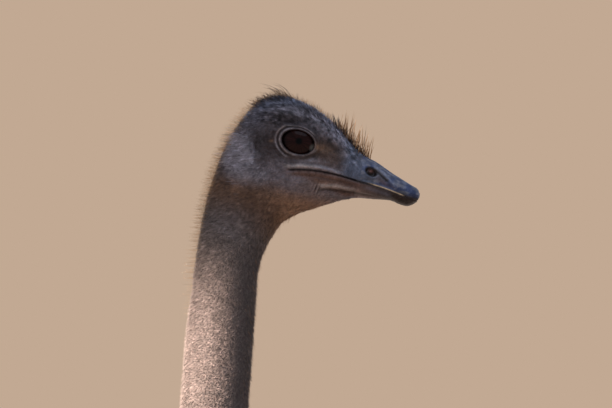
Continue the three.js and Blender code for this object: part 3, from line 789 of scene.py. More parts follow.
def leathery_skin():
    """Bare bird skin, thin and leathery: dull, finely pebbled, speckled where hairs grow; scaly below."""
    material, tree = new_material("bare_bird_skin")
    where = node(tree, 'ShaderNodeTexCoord').outputs["Object"]
    tint = node(tree, 'ShaderNodeAttribute', attribute_name="markings").outputs["Color"]
    # The specks between the hairs' roots are about 1.4 mm across, and the blotches of the skin about 5.5.
    tint = varied(tree, tint, 1.4, 0.74, 1.26, where)
    tint = varied(tree, tint, 5.5, 0.85, 1.15, where)
    # Skin papillae are under a millimetre across and are drawn at 1.3, so that they show.
    pebble = node(tree, 'ShaderNodeTexVoronoi', {"Vector": where, "Scale": per_metre(1.3)})
    grain = node(tree, 'ShaderNodeTexNoise', {"Vector": where, "Scale": per_metre(0.8), "Detail": 2.0})
    fine = node(tree, 'ShaderNodeMath', {0: pebble.outputs["Distance"], 1: grain.outputs["Fac"]},
                operation='ADD')
    # The shanks carry net-like scales about four millimetres across.
    net = node(tree, 'ShaderNodeTexVoronoi', {"Vector": where, "Scale": per_metre(4.2)},
               feature='DISTANCE_TO_EDGE')
    edge = node(tree, 'ShaderNodeMapRange', {"Value": net.outputs["Distance"], "From Min": 0.0,
                                             "From Max": 0.16})
    height = node(tree, 'ShaderNodeSeparateXYZ', {0: where}).outputs[2]
    low = node(tree, 'ShaderNodeMapRange', {"Value": height, "From Min": 0.56, "From Max": 0.50})
    relief = node(tree, 'ShaderNodeMix', {0: low.outputs[0], 2: fine.outputs[0], 3: edge.outputs[0]})
    bump = node(tree, 'ShaderNodeBump', {"Height": relief.outputs[0], "Strength": 0.55,
                                         "Distance": 0.0006})
    dull = node(tree, 'ShaderNodeMapRange', {"Value": grain.outputs["Fac"], "From Min": 0.3,
                                             "From Max": 0.7, "To Min": 0.5, "To Max": 0.72})
    finish(tree, {"Base Color": tint, "Roughness": dull.outputs[0], "Normal": bump.outputs[0]},
           **{"Subsurface Weight": 0.06, "Subsurface Scale": 0.002, "Specular IOR Level": 0.2})
    return material


def bill_horn():
    """Keratin horn, grown and worn smooth: a low waxy shine with faint growth lines."""
    material, tree = new_material("keratin_horn")
    where = node(tree, 'ShaderNodeTexCoord').outputs["Object"]
    tint = node(tree, 'ShaderNodeAttribute', attribute_name="markings").outputs["Color"]
    tint = varied(tree, tint, 7.0, 0.70, 1.3, where)
    tint = varied(tree, tint, 1.4, 0.80, 1.2, where)
    lines = node(tree, 'ShaderNodeTexWave', {"Vector": where, "Scale": per_metre(4.75) * WAVE_LENGTH,
                                             "Distortion": 2.5, "Detail": 2.0, "Detail Scale": 1.5},
                 bands_direction='X')
    grain = node(tree, 'ShaderNodeTexNoise', {"Vector": where, "Scale": per_metre(0.9), "Detail": 3.0})
    both = node(tree, 'ShaderNodeMath', {0: lines.outputs["Fac"], 1: grain.outputs["Fac"]},
                operation='ADD')
    bump = node(tree, 'ShaderNodeBump', {"Height": both.outputs[0], "Strength": 0.35, "Distance": 0.0003})
    shine = node(tree, 'ShaderNodeMapRange', {"Value": grain.outputs["Fac"], "From Min": 0.3,
                                              "From Max": 0.7, "To Min": 0.3, "To Max": 0.46})
    finish(tree, {"Base Color": tint, "Roughness": shine.outputs[0], "Normal": bump.outputs[0]},
           **{"IOR": 1.54, "Specular IOR Level": 0.26})
    return material


def wet_eye():
    """A wet cornea over a dark streaked iris with a black pupil, and the third lid's grey front corner."""
    material, tree = new_material("wet_cornea")
    where = node(tree, 'ShaderNodeTexCoord').outputs["Object"]
    middle = (EYE_X / 1000 + SHIFT[0], 0.0, EYE_Z / 1000)
    off = node(tree, 'ShaderNodeVectorMath', {0: where, 1: middle}, operation='SUBTRACT')
    flat = node(tree, 'ShaderNodeVectorMath', {0: off.outputs[0], 1: (1, 0, 1)}, operation='MULTIPLY')
    far = node(tree, 'ShaderNodeVectorMath', {0: flat.outputs[0]}, operation='LENGTH').outputs["Value"]
    ring = node(tree, 'ShaderNodeMapRange', {"Value": far, "From Min": 0.0, "From Max": 0.020})
    ramp = node(tree, 'ShaderNodeValToRGB', {"Fac": ring.outputs[0]})
    iris, rim = (*shade_of("iris"), 1), (*(0.3 * shade_of("iris")), 1)
    black = (0.001, 0.001, 0.001, 1)
    # Places are shares of 20 mm: the pupil ends at 4.4 mm, and the iris's dark rim lies at 14.4 mm.
    stops = ((0.0, black), (0.11, black), (0.22, iris), (0.58, iris), (0.72, rim), (1.0, black))
    while len(ramp.color_ramp.elements) < len(stops):
        ramp.color_ramp.elements.new(0.5)
    for element, (spot, shade) in zip(ramp.color_ramp.elements, stops):
        element.position, element.color = spot, shade
    # The streaks run outwards, because the noise is read at the direction from the pupil's middle.
    way = node(tree, 'ShaderNodeVectorMath', {0: flat.outputs[0]}, operation='NORMALIZE')
    streaks = node(tree, 'ShaderNodeTexNoise', {"Vector": way.outputs[0], "Scale": 9.0, "Detail": 4.0})
    amount = node(tree, 'ShaderNodeMapRange', {"Value": streaks.outputs["Fac"], "From Min": 0.35,
                                               "From Max": 0.65, "To Min": 0.5, "To Max": 1.5})
    tint = node(tree, 'ShaderNodeVectorMath', {0: ramp.outputs[0], "Scale": amount.outputs[0]},
                operation='SCALE')
    # The third lid shows in the opening's front corner, within 5.6 mm of this place.
    corner = node(tree, 'ShaderNodeVectorMath', {0: flat.outputs[0], 1: (0.0152, 0, -0.0074)},
                  operation='DISTANCE')
    fold = node(tree, 'ShaderNodeMapRange', {"Value": corner.outputs["Value"], "From Min": 0.0026,
                                             "From Max": 0.0056, "To Min": 0.9, "To Max": 0.0})
    both = node(tree, 'ShaderNodeMix', {0: fold.outputs[0], 6: tint.outputs[0],
                                        7: (*shade_of("third_lid"), 1)}, data_type='RGBA')
    finish(tree, {"Base Color": both.outputs[2]},
           **{"Roughness": 0.09, "IOR": 1.376, "Specular IOR Level": 0.18})
    return material


def plain_keratin(name, roughness, sheen):
    """Feather keratin: dull loose barbs and hairs, each strand its own shade."""
    material, tree = new_material(name)
    tint = node(tree, 'ShaderNodeAttribute', attribute_name="markings").outputs["Color"]
    where = node(tree, 'ShaderNodeTexCoord').outputs["Object"]
    tint = varied(tree, tint, 9.0, 0.86, 1.14, where)
    finish(tree, {"Base Color": tint},
           **{"Roughness": roughness, "Sheen Weight": sheen, "Sheen Roughness": 0.5,
              "Specular IOR Level": 0.25})
    return material


# ------------------------------------------------------------------------------------- skin, bill, eyes


def skin_tube():
    """The body's skin from the bill's base to the tail's stub, with close rings round the eyes."""
    t = STATIONS[:, None]
    even = np.linspace(-math.pi / 2, 1.5 * math.pi, len(ANGLES))[:-1]
    mix = smooth(15, 20, t)
    a = ANGLES[None, :-1] * (1 - mix) + even[None] * mix
    t = np.broadcast_to(t, a.shape)
    return tube(skin_point(t, a)[0], BODY_MAP)


def rings_of(form, t, sides):
    """A form's rings at stations t: stations and angles, points and outward normals."""
    t, a = np.broadcast_arrays(t[:, None], np.linspace(0, 2 * math.pi, sides, endpoint=False)[None])
    return t, a, form.point(t, a), form.frame_at(t, a)[0]


def on_leg(p, side):
    """Puts a leg's points where that leg stands, a stride before or behind the other."""
    p = p.copy()
    p[..., 0] += LEG_X - side * STRIDE * np.maximum(0, LEG_TOP_Z - p[..., 2]) / LEG_TOP_Z
    p[..., 1] *= side
    return p


def leg_tube(side, box):
    """Thigh and shank, with big scutes down the shank's front."""
    # The rings are closer together below the thigh, where the scales are.
    stations = np.interp(np.linspace(0, 1, 290), (0, 0.27, 1), (0, 6.0, LEG.last))
    t, a, p, out = rings_of(LEG, stations, 56)
    front = smooth(1.15, 0.85, np.abs(a - math.pi / 2))
    shank = smooth(9.4, 9.9, t) * smooth(17.0, 16.6, t)
    step = (p[..., 2] / SHANK_SCUTE + 0.35 * np.cos(a)) % 1.0
    scute = (0.9 * step ** 0.7 - 0.5) * front * shank
    cord = 0.8 * bell(np.abs(a - math.pi / 2) - 1.35, 0.25) * shank
    skin = 0.9 * lumps(p, 9, 5) * smooth(9, 7, t) + 0.5 * lumps(p, 3.2, 6) * smooth(8, 9.5, t)
    folds = 0.7 * np.sin(p[..., 2] * 0.75) * bell((t - 8.7) / 0.9, 1.0)
    rise = scute + cord * 0.5 + skin + folds - 1.4
    return tube(on_leg(p + out * rise[..., None], side), box)


def spin(p, angle):
    """Turns points about the upright axis."""
    c, s = math.cos(angle), math.sin(angle)
    x, y = p[..., 0] * c - p[..., 1] * s, p[..., 0] * s + p[..., 1] * c
    return np.stack([x, y, p[..., 2]], -1)


def on_foot(p, side, turn, out):
    """Puts a toe's points where that foot stands."""
    p = spin(p, side * turn) + np.array([0, side * out, 0])
    p = spin(p, side * FOOT_TURN) + np.array([LEG_X - side * STRIDE, side * FOOT_Y, 0])
    p[..., 2] = np.maximum(p[..., 2], 0)
    return p


def toe_tube(rows, side, turn, out, box):
    """A toe with scutes on top and a pebbled sole."""
    form = Form(rows)
    _, a, p, normal = rings_of(form, np.linspace(0, form.last, 110), 44)
    top = smooth(0.15, 0.6, np.sin(a))
    step = (p[..., 0] / TOE_SCUTE) % 1.0
    rise = (0.9 * step ** 0.7 - 0.9) * top - 0.5 + 0.4 * lumps(p, 3.0, 7)
    sole = smooth(0.2, -0.2, np.sin(a))
    rise = rise + (0.5 * lumps(p, 3.4, 8) - 0.2) * sole
    return tube(on_foot(p + normal * rise[..., None], side, turn, out), box)


def skin_mesh():
    """One closed skin: the body, both legs and all toes joined."""
    strips = iter([(k / LEG_STRIPS, LEG_MAP_LOW, (k + 1) / LEG_STRIPS - 0.01, 1.0)
                   for k in range(LEG_STRIPS)])
    parts = [skin_tube()]
    for side in (LEFT, RIGHT):
        parts.append(leg_tube(side, next(strips)))
        parts.append(toe_tube(MIDDLE_TOE_ROWS, side, 0.0, 0.0, next(strips)))
        parts.append(toe_tube(OUTER_TOE_ROWS, side, OUTER_TOE_SPLAY, OUTER_TOE_Y, next(strips)))
    objects = []
    for index, (points, corners, starts, corner_map) in enumerate(parts):
        name = f"skin_part_{index}"
        objects.append(linked(name, build_mesh(name, points, corners, starts, corner_map)))
    body = objects[0]
    for other in objects[1:]:
        join = body.modifiers.new(other.name, 'BOOLEAN')
        join.operation, join.solver, join.object = 'UNION', 'MANIFOLD', other
    shown = body.evaluated_get(bpy.context.evaluated_depsgraph_get())
    joined = bpy.data.meshes.new_from_object(shown)
    for made in objects:
        bpy.data.objects.remove(made)
    if len(joined.vertices) < 1000:
        raise RuntimeError("the skin's parts did not join")
    joined.name = "skin"
    where = np.empty(len(joined.vertices) * 3, np.float32)
    joined.vertices.foreach_get("co", where)
    where = (where.reshape(-1, 3) - SHIFT) * 1000
    set_markings(joined, markings(where))
    joined.polygons.foreach_set("use_smooth", np.ones(len(joined.polygons), bool))
    joined.materials.clear()
    return joined


def gape_angle(t):
    """The angle on the bird's left side where the bill's surface meets the closed mouth's line."""
    a = np.linspace(-1.5, 1.5, 601)
    p = BODY.point(t[:, None], a[None])
    above = over_gape(*side_view(p)) > 0
    return a[np.argmax(above, axis=1)]


def bill_relief(p):
    """Nostril, grooves, ridge and cutting edge of the horn."""
    x, z = side_view(p)
    side = smooth(3, 8, np.abs(p[..., 1]))
    hole = oval(x, z, *NOSTRIL)
    # The nostril with its knob and rim, the groove and dip before it, and the ridge over it.
    out = -3.6 * smooth(1.05, 0.6, hole)
    out += 2.2 * bell(oval(x, z, *NODULE), 1.0)
    out += 0.6 * bell(hole - 1.32, 0.25)
    out -= 1.5 * bell(from_line(x, z, NOSTRIL_GROOVE), 1.5)
    out -= 0.8 * bell(oval(x, z, *HOLLOW), 1.0)
    out += 0.9 * bell(from_line(x, z, NOSTRIL_RIDGE), 1.7)
    gape = over_gape(x, z)
    # The cutting edges with the groove along them, and the nail at the tip.
    out += 0.35 * bell(gape - 1.0, 0.9) - 0.4 * bell(gape - 3.4, 1.2)
    out += 0.5 * bell(gape + 1.6, 1.2)
    out += 0.5 * smooth(96, 104, x) * smooth(0, 4, gape)
    # The lower jaw's ridge and crease run on from the skin. Two grooves bound the bill's upper ridge.
    out += 0.9 * bell(from_line(x, z, JAW_RIDGE), 1.8) * smooth(66, 44, x)
    out -= 0.9 * bell(from_line(x, z, JAW), 1.4) * smooth(88, 62, x)
    culmen = 0.5 * bell(np.abs(p[..., 1]) - 6.5, 1.6) * smooth(100, 88, x) * smooth(-40, -25, z)
    return out * side - culmen + 0.14 * lumps(p, 2.2, 9) + 0.10 * lumps(p * np.array([2.2, 1, 1]), 2.0, 11)


def half_bill(upper):
    """The upper or lower half of the bill, closed along the mouth; the upper half's tip hooks over."""
    t = np.linspace(0 if upper else LOWER_BILL_START, BILL_END + 0.25, 150)
    edge = gape_angle(t) + (0.004 if upper else -0.010)
    span = math.pi - 2 * edge if upper else -(math.pi + 2 * edge)
    share = np.linspace(0, 1, 100)
    a = edge[:, None] + span[:, None] * share[None]
    station = np.broadcast_to(t[:, None], a.shape)
    p = BODY.point(station, a)
    out, _, _ = BODY.frame_at(station, a)
    shaped = smooth(BILL_END, BILL_END - 0.25, station) * smooth(0, 0.6, station)
    p = p + out * (bill_relief(p) * shaped)[..., None]
    across = np.linspace(1, 0, 12)[None, 1:-1, None]
    roof = p[:, :1] * across + p[:, -1:] * (1 - across)
    roof[..., 2] += (1.4 if upper else -1.2) * np.sin(np.pi * across[..., 0]) * smooth(0, 1.5, t)[:, None]
    p = np.concatenate([p, roof], axis=1)
    # The tip is rounded off by a few rings that draw together.
    middle = p[0].mean(0)
    turns = np.linspace(math.pi / 2, 0, 7)[:-1]
    cap = middle + (p[:1] - middle) * np.cos(turns)[:, None, None]
    cap[..., 0] += 0.5 * np.sin(turns)[:, None]
    return np.concatenate([cap[1:], p])


def horn_tint(p):
    """The skin's markings with the horn's details: painted shade in the nostril and its groove, pale ridge
    and edge.
    """
    x, z = side_view(p)
    horn, edge, jaw, dark = (shade_of(name) for name in ("horn", "horn_edge", "jaw", "bristle"))
    gape = over_gape(x, z)
    side = smooth(2, 6, np.abs(p[..., 1]))
    result = markings(p)

    def paint(shade, mask):
        cover(result, shade, mask)

    upper, streaks = smooth(0, 3, gape), p * np.array([0.4, 1, 1])
    culmen = from_line(x, z, np.array([(62, -14), (78, -23), (93, -33.5), (105, -42)]))
    navy = horn * np.array([0.34, 0.45, 0.80])
    # Navy and pale streaks along the upper half, and pale ridges, with painted highlights on the tip.
    paint(navy, 0.9 * smooth(-0.08, 0.22, lumps(streaks, 4.5, 27)) * upper)
    paint(navy, 0.6 * bell(culmen, 3.2) * upper)
    paint(horn * np.array([2.0, 1.75, 1.5]), 0.75 * smooth(0.12, 0.4, lumps(streaks, 2.6, 29)) * upper)
    paint(horn * 1.8, bell(from_line(x, z, NOSTRIL_RIDGE), 1.5) * 0.55 * side)
    paint(horn * 1.7, bell(oval(x, z, 63, -21, 2.6, 7, 0.2), 1.0) * 0.4 * side)
    # Painted highlight: paler patches over the upper half's tip.
    paint(horn * 1.6, smooth(94, 106, x) * smooth(2, 7, gape) * smooth(-0.2, 0.5, lumps(p, 5.0, 28)) * 0.7)
    paint(horn * 1.5, 0.35 * bell(gape + 4.5, 2.5) * smooth(58, 72, x) * smooth(96, 86, x) * side)
    # The dark hook, the nostril's red-brown knob and hollow, painted shade in the nostril, its groove and
    # hollow, the worn edge, and painted shade along the mouth's line.
    paint(shade_of("horn_low"), smooth(5.0, 1.0, gape) * smooth(90, 104, x) * 0.85)
    # The hollow is red-brown, darkened in part as painted shade.
    paint(jaw * 0.8, bell(oval(x, z, *HOLLOW), 1.0) * 0.65 * side)
    # Painted shade: the nostril's opening darkened.
    paint(dark * 0.3, smooth(1.2, 0.9, oval(x, z, *NOSTRIL)) * side)
    paint(jaw * np.array([1.7, 1.25, 1.3]), bell(oval(x, z, *NODULE), 0.8) * 0.9 * side)
    # Painted shade: the groove before the nostril darkened.
    paint(dark * 0.5, bell(from_line(x, z, NOSTRIL_GROOVE), 1.7) * 0.9 * side)
    paint(edge, bell(gape - 0.5, 0.6) * smooth(66, 78, x) * smooth(106, 100, x) * side)
    # Painted shade: a dark line where the jaws meet.
    paint(dark * 0.5, bell(gape + 0.4, 0.6) * smooth(106, 96, x) * 0.8)
    return result


def eyeball(side):
    """The ball with its slightly domed cornea, facing sideways."""
    turn = np.linspace(0, math.pi, 90)[1:-1, None]
    around = np.linspace(0, 2 * math.pi, 96, endpoint=False)[None]
    ball = np.stack([np.sin(turn) * np.cos(around), np.cos(turn) * np.ones_like(around),
                     np.sin(turn) * np.sin(around)], -1) * np.array(EYE_RADIUS)
    off = np.hypot(ball[..., 0], ball[..., 2])
    ball[..., 1] += np.where(ball[..., 1] > 0, 0.9 * smooth(14.5, 6, off), 0)
    ball[..., 1] *= side
    return ball + np.array([EYE_X, side * EYE_CENTRE_Y, EYE_Z])


def claw_tube(side):
    """The claw of that side's middle toe, faintly ridged along its length."""
    form = Form(CLAW_ROWS)
    _, _, p, out = rings_of(form, np.linspace(0, form.last, 60), 40)
    rise = 0.35 * lumps(p * np.array([0.35, 1, 1]), 2.6, 10) - 0.25
    return tube(on_foot(p + out * rise[..., None], side, 0.0, 0.0))


# --------------------------------------------------------------------------------------------- coat


TUFT_PATCH = 0.003      # how wide each tuft's patch on the map is
COAT_LIMIT = 200000     # a coat piece has fewer triangles than this
THIGH_HAIR_COUNT = 1100
BACKWARD, DOWNWARD = np.array([-1.0, 0, 0]), np.array([0, 0, -1.0])


def scatter(rng, count, t0, t1, weight=None):
    """Evenly spread places on the body between two stations: their stations and angles."""
    rings, sides = 240, 160
    t = np.linspace(t0, t1, rings + 1)
    a = np.linspace(-math.pi / 2, 1.5 * math.pi, sides + 1)
    grid = BODY.point(t[:, None], a[None])
    ahead, aside = grid[1:, :-1] - grid[:-1, :-1], grid[:-1, 1:] - grid[:-1, :-1]
    area = np.linalg.norm(np.cross(ahead, aside), axis=-1)
    if weight is not None:
        area = area * weight((grid[1:, 1:] + grid[:-1, :-1]) / 2, (t[1:, None] + t[:-1, None]) / 2,
                             (a[1:] + a[:-1])[None] / 2)
    total = np.cumsum(area.ravel())
    spots = (np.arange(count) + rng.random(count)) / count * total[-1]
    i, j = np.divmod(np.searchsorted(total, spots), sides)
    return t[i] + rng.random(count) * (t[1] - t[0]), a[j] + rng.random(count) * (a[1] - a[0])


def tangent(v, out):
    """The part of a direction that lies in the skin."""
    return unit(v - (v * out).sum(-1, keepdims=True) * out)


def dimmed(rng, tint, spread):
    """Each strand's own shade of its place's colour."""
    return tint * np.clip(1 + spread * rng.standard_normal((len(tint), 1)), 0.25, 2.2)


class Coat:
    """Gathers tufts of one kind of finish, then makes one mesh of them."""

    def __init__(self):
        self.points, self.faces, self.map, self.tint, self.count = [], [], [], [], 0

    def add(self, points, faces, root_map, along, across, tint, tip=1.0):
        """points is (tufts, corners, xyz); along and across say where each corner lies on its tuft."""
        tufts, corners, _ = points.shape
        self.points.append(points.reshape(-1, 3))
        start = self.count + np.arange(tufts)[:, None, None] * corners
        self.faces.append((np.array(faces)[None] + start).reshape(-1, 3))
        patch = np.stack([np.asarray(across, float) - 0.5, np.asarray(along, float)], -1) * TUFT_PATCH
        self.map.append((root_map[:, None] + patch[None]).reshape(-1, 2))
        shade = 1 + (tip - 1) * np.asarray(along, float)
        self.tint.append((tint[:, None] * shade[None, :, None]).reshape(-1, 3))
        self.count += tufts * corners

    def mesh(self, name):
        """One mesh of all that was added."""
        faces = np.concatenate(self.faces)
        if len(faces) >= COAT_LIMIT:
            raise RuntimeError(f"{name} has {len(faces)} triangles, and the limit is {COAT_LIMIT}")
        corner_map = np.clip(np.concatenate(self.map), 0, 1)[faces.ravel()]
        return build_mesh(name, np.concatenate(self.points), faces.ravel(), np.arange(len(faces)) * 3,
                          corner_map, np.concatenate(self.tint))


def spikes(coat, root, along, up, size, width, root_map, tint, tip=1.0):
    """Short straight hairs: a three-cornered foot and one tip, closed."""
    across = unit(np.cross(up, along)) * width[:, None] / 2
    lift = up * width[:, None] * 0.6
    foot = root - up * 0.15
    points = np.stack([foot + across, foot - across, foot + lift, root + along * size[:, None]], 1)
    coat.add(points, [(0, 2, 3), (2, 1, 3), (1, 0, 3), (0, 1, 2)], root_map,
             (0, 0, 0, 1), (0, 1, 0.5, 0.5), tint, tip)


def fibres(coat, path, up, width, root_map, tint, tip=1.0):
    """Long hairs, three-sided and tapering to a point, that follow curved paths."""
    stations = path.shape[1]
    travel = unit(np.gradient(path, axis=1))
    across = unit(np.cross(np.broadcast_to(up[:, None], path.shape), travel))
    upward = np.cross(travel, across)
    taper = np.linspace(1, 0.35, stations)[None, :-1, None] * width[:, None, None] / 2
    ring = [path[:, :-1] + (across[:, :-1] * math.cos(k) + upward[:, :-1] * math.sin(k)) * taper
            for k in (0, 2.094, 4.189)]
    body = np.stack(ring, 2).reshape(len(path), -1, 3)
    points = np.concatenate([body, path[:, -1:]], 1)
    faces = [(0, 2, 1)]
    for s in range(stations - 2):
        for k in range(3):
            a, b = s * 3 + k, s * 3 + (k + 1) % 3
            faces += [(a, b, a + 3), (b, b + 3, a + 3)]
    end, last = (stations - 1) * 3, (stations - 2) * 3
    faces += [(last + k, last + (k + 1) % 3, end) for k in range(3)]
    along = np.append(np.repeat(np.linspace(0, 1, stations)[:-1], 3), 1)
    coat.add(points, faces, root_map, along, np.append(np.tile((0, 0.5, 1), stations - 1), 0.5), tint, tip)


def vanes(coat, path, across, width, root_map, tint, tip=1.0):
    """Flat strips that taper to a point: barbs and feather shafts."""
    stations = path.shape[1]
    taper = np.linspace(1, 0.6, stations)[None, :-1, None] * width[:, None, None] / 2
    sides = np.stack([path[:, :-1] + across[:, :-1] * taper, path[:, :-1] - across[:, :-1] * taper], 2)
    points = np.concatenate([sides.reshape(len(path), -1, 3), path[:, -1:]], 1)
    faces = []
    for s in range(stations - 2):
        faces += [(2 * s, 2 * s + 1, 2 * s + 2), (2 * s + 1, 2 * s + 3, 2 * s + 2)]
    end = 2 * (stations - 1)
    faces.append((end - 2, end - 1, end))
    along = np.append(np.repeat(np.linspace(0, 1, stations)[:-1], 2), 1)
    coat.add(points, faces, root_map, along, np.append(np.tile((0, 1), stations - 1), 0.5), tint, tip)


def feathers(coat, rng, root, along, up, size, half, barbs, droop, root_map, tint, barb_width):
    """Loose feathers: a thin shaft with soft separate barbs to both sides, hanging under their own weight.

    droop is how far the feather's tip sinks, as a share of its length.
    """
    count = len(root)
    side = unit(np.cross(up, along))

    def shaft(share):
        """Places and directions on the shafts, share shaped (feathers, places)."""
        s = share[..., None]
        reach = size[:, None, None]
        spots = (root[:, None] + along[:, None] * reach * (s - 0.25 * droop[:, None, None] * s * s)
                  + up[:, None] * reach * (0.16 * s - 0.20 * s * s)
                  + DOWNWARD * reach * droop[:, None, None] * s * s)
        way = (along[:, None] * (1 - 0.5 * droop[:, None, None] * s) + up[:, None] * (0.16 - 0.4 * s)
               + DOWNWARD * 2 * droop[:, None, None] * s)
        return spots, unit(way)

    steps = np.broadcast_to(np.linspace(0, 1, 5), (count, 5))
    path, _ = shaft(steps)
    vanes(coat, path, np.broadcast_to(side[:, None], path.shape), 1.1 + size * 0.004, root_map,
          tint * 1.15)
    share = np.linspace(0.10, 0.97, barbs)[None] + 0.5 / barbs * rng.uniform(-1, 1, (count, barbs))
    share = np.clip(share, 0.06, 0.985)
    for way_out in (1, -1):
        foot, way = shaft(share)
        # Barbs leave the shaft at a wide angle near its foot and at a narrow one near its tip.
        spread = np.interp(share, (0, 0.5, 1), (1.05, 0.75, 0.30)) + rng.normal(0, 0.10, share.shape)
        # They are longest in the feather's middle, and each sinks a little under its own weight.
        reach = half[:, None] * np.sin(np.pi * np.interp(share, (0, 0.45, 1), (0.2, 0.5, 0.86))) ** 0.7
        reach = reach / np.maximum(np.sin(spread), 0.45) * rng.uniform(0.75, 1.2, share.shape)
        turn = way * np.cos(spread)[..., None] + way_out * side[:, None] * np.sin(spread)[..., None]
        sink = rng.uniform(0.05, 0.28, share.shape)[..., None]
        middle = foot + turn * reach[..., None] * 0.5 + DOWNWARD * reach[..., None] * sink * 0.25
        tip = foot + (turn * 0.86 + way * 0.22) * reach[..., None] + DOWNWARD * reach[..., None] * sink
        flat = rng.normal(0, 0.35, share.shape)[..., None]
        across = unit(np.cross(turn, up[:, None] + side[:, None] * flat))
        paths = np.stack([foot, middle, tip], 2).reshape(-1, 3, 3)
        across = np.repeat(across.reshape(-1, 1, 3), 3, axis=1)
        shade = np.clip(1 + rng.normal(0, 0.13, share.shape), 0.6, 1.5)[..., None] * tint[:, None]
        maps = root_map[:, None] + TUFT_PATCH * np.stack([np.full(share.shape, way_out * 0.25),
                                                          share * 0.5], -1)
        width = barb_width * rng.uniform(0.75, 1.25, share.size)
        vanes(coat, paths, across, width, maps.reshape(-1, 2), shade.reshape(-1, 3), 1.25)


def lean(rng, out, way, rise, spread):
    """Directions that follow a lie in the skin, risen from it, each a little its own."""
    loose = rng.normal(0, spread, out.shape)
    return unit(tangent(way, out) + out * np.asarray(rise)[..., None] + loose)


def clumps(rng, t, a, size, stretch):
    """The tuft that each strand belongs to: the station and angle of its middle, and its ring and place.

    Tufts are size millimetres across and stretch times as long.
    """
    step = size * stretch
    ring = np.floor(np.interp(t, *TRAVEL) / step + rng.normal(0, 0.2, len(t))).astype(np.int64)
    rows = BODY.row(np.interp((ring + 0.5) * step, TRAVEL[1], TRAVEL[0]))
    girth = math.pi * (rows[:, 4] + np.hypot(rows[:, 0] - rows[:, 2], rows[:, 1] - rows[:, 3]) / 2)
    count = np.maximum(6, np.rint(girth / size))
    offset = 0.5 * (ring % 2)
    spot = np.floor(a / (2 * math.pi) * count + offset + rng.normal(0, 0.2, len(t))).astype(np.int64)
    middle_t = np.interp((ring + 0.2 + 0.6 * hashed(1, ring, spot)) * step, TRAVEL[1], TRAVEL[0])
    middle_a = (spot + 0.2 + 0.6 * hashed(2, ring, spot) - offset) / count * 2 * math.pi
    return middle_t, middle_a, ring, spot


def tufted(coat, rng, t, a, way, rise, reach, width, tuft, contrast, tip, pale_hair_and_painted_skylight=1.0):
    """Short hairs that draw together into small tufts, each tuft with its own turn, lift and shade.

    way gives the hairs' lie from the skin's normal and its direction of travel. tuft holds the tufts'
    size, their stretch, how far their hairs draw together and how far they turn aside.
    """
    size, stretch, pull, swing = tuft
    root, out, along = skin_point(t, a)
    middle_t, middle_a, ring, spot = clumps(rng, t, a, size, stretch)
    middle, middle_out, middle_along = skin_point(middle_t, middle_a)
    turn, lift, shade = (hashed(k, ring, spot) for k in (3, 4, 5))
    sideways = np.cross(middle_out, middle_along) * (swing * (2 * turn - 1))[:, None]
    height = (rise * (0.4 + 1.2 * lift))[:, None]
    shared = middle + unit(tangent(way(middle_out, middle_along) + sideways, middle_out)
                           + middle_out * height) * reach[:, None]
    own = root + unit(tangent(way(out, along) + sideways, out) + out * height
                      + rng.normal(0, 0.16, out.shape)) * reach[:, None]
    strand = own * (1 - pull) + shared * pull - root
    strand_length = np.linalg.norm(strand, axis=1)
    tint = dimmed(rng, markings(root), 0.18)
    # About three tufts in ten are dark and one in six is pale.
    tone = np.interp(shade, (0, 0.26, 0.34, 0.78, 0.86, 1), (0.4, 0.5, 0.8, 1.15, 1.5, 1.9))
    # The last factor makes tufts paler where asked: painted skylight on the crown, the hair's own paler
    # colour on the ear patch.
    tone = (1 + (tone - 1) * contrast) * pale_hair_and_painted_skylight
    spikes(coat, root, strand / strand_length[:, None], out, strand_length, width, unwrapped(t, a),
           tint * tone[:, None], tip)


def face_hair(sizes):
    """Short hairs of the face, ear patch and throat, clear of the lids, lips and horn."""
    rng = np.random.default_rng(FACE_SEED)

    def weight(p, t, a):
        x, z = side_view(p)
        gape = over_gape(x, z)
        keep = smooth(4.5, 9, eye_distance(x, z)) * smooth(60, 50, x)
        lips = smooth(-15, -8, x) * bell(gape, 6.5)
        jaw = smooth(-14, 0, x) * smooth(1, -2, gape) * smooth(-17, -12, gape)
        lores = bell(oval(x, z, 30, -10, 20, 13, -0.45), 1.0)
        loose = bell(oval(x, z, 17.3, -46.7, 4.6, 5.6), 1.0)
        bare = np.clip(lips + jaw + loose + 0.7 * lores, 0, 1)
        return keep * (1 - 0.97 * bare) * (0.5 + 1.0 * smooth(10, 36, z))

    t, a = scatter(rng, sizes.stubble_count, 6.4, 15.6, weight)
    p = BODY.point(t, a)
    x, z = side_view(p)
    ear = smooth(1.4, 0.8, oval(x, z, *EAR_PATCH))
    crown = smooth(13, 30, z + 0.75 * np.maximum(x - 8, 0) + 0.35 * np.maximum(-20 - x, 0))
    throat = smooth(-40, -60, z)
    reach = mm(sizes.stubble) * rng.uniform(0.5, 1.3, len(t))
    reach *= 1 + 1.7 * ear + 0.7 * crown + 0.7 * throat
    reach *= np.where(x > 20, 0.75, 1)
    back = (0.8 + 1.6 * smooth(-20, -45, x))[:, None] * BACKWARD + 0.4 * throat[:, None] * DOWNWARD
    rise, contrast = 0.30 + 0.35 * crown - 0.12 * ear, 0.5 + 0.6 * crown - 0.25 * ear
    # Crown hairs are made paler as painted skylight; the ear patch's hairs are paler in their own colour.
    pale_hair_and_painted_skylight, width = 1 + 0.38 * crown + 0.45 * ear, rng.uniform(0.26, 0.5, len(t))
    coat = Coat()
    hind = x + rng.normal(0, 5, len(x)) < -38
    for lot, tuft in ((~hind, (2.2, 1.3, 0.55, 0.5)), (hind, (5.0, 0.28, 0.6, 0.25))):
        tufted(coat, rng, t[lot], a[lot], lambda out, along, lot=lot: along + back[lot], rise[lot],
               reach[lot], width[lot], tuft, contrast[lot], 1.3, pale_hair_and_painted_skylight[lot])
    return coat


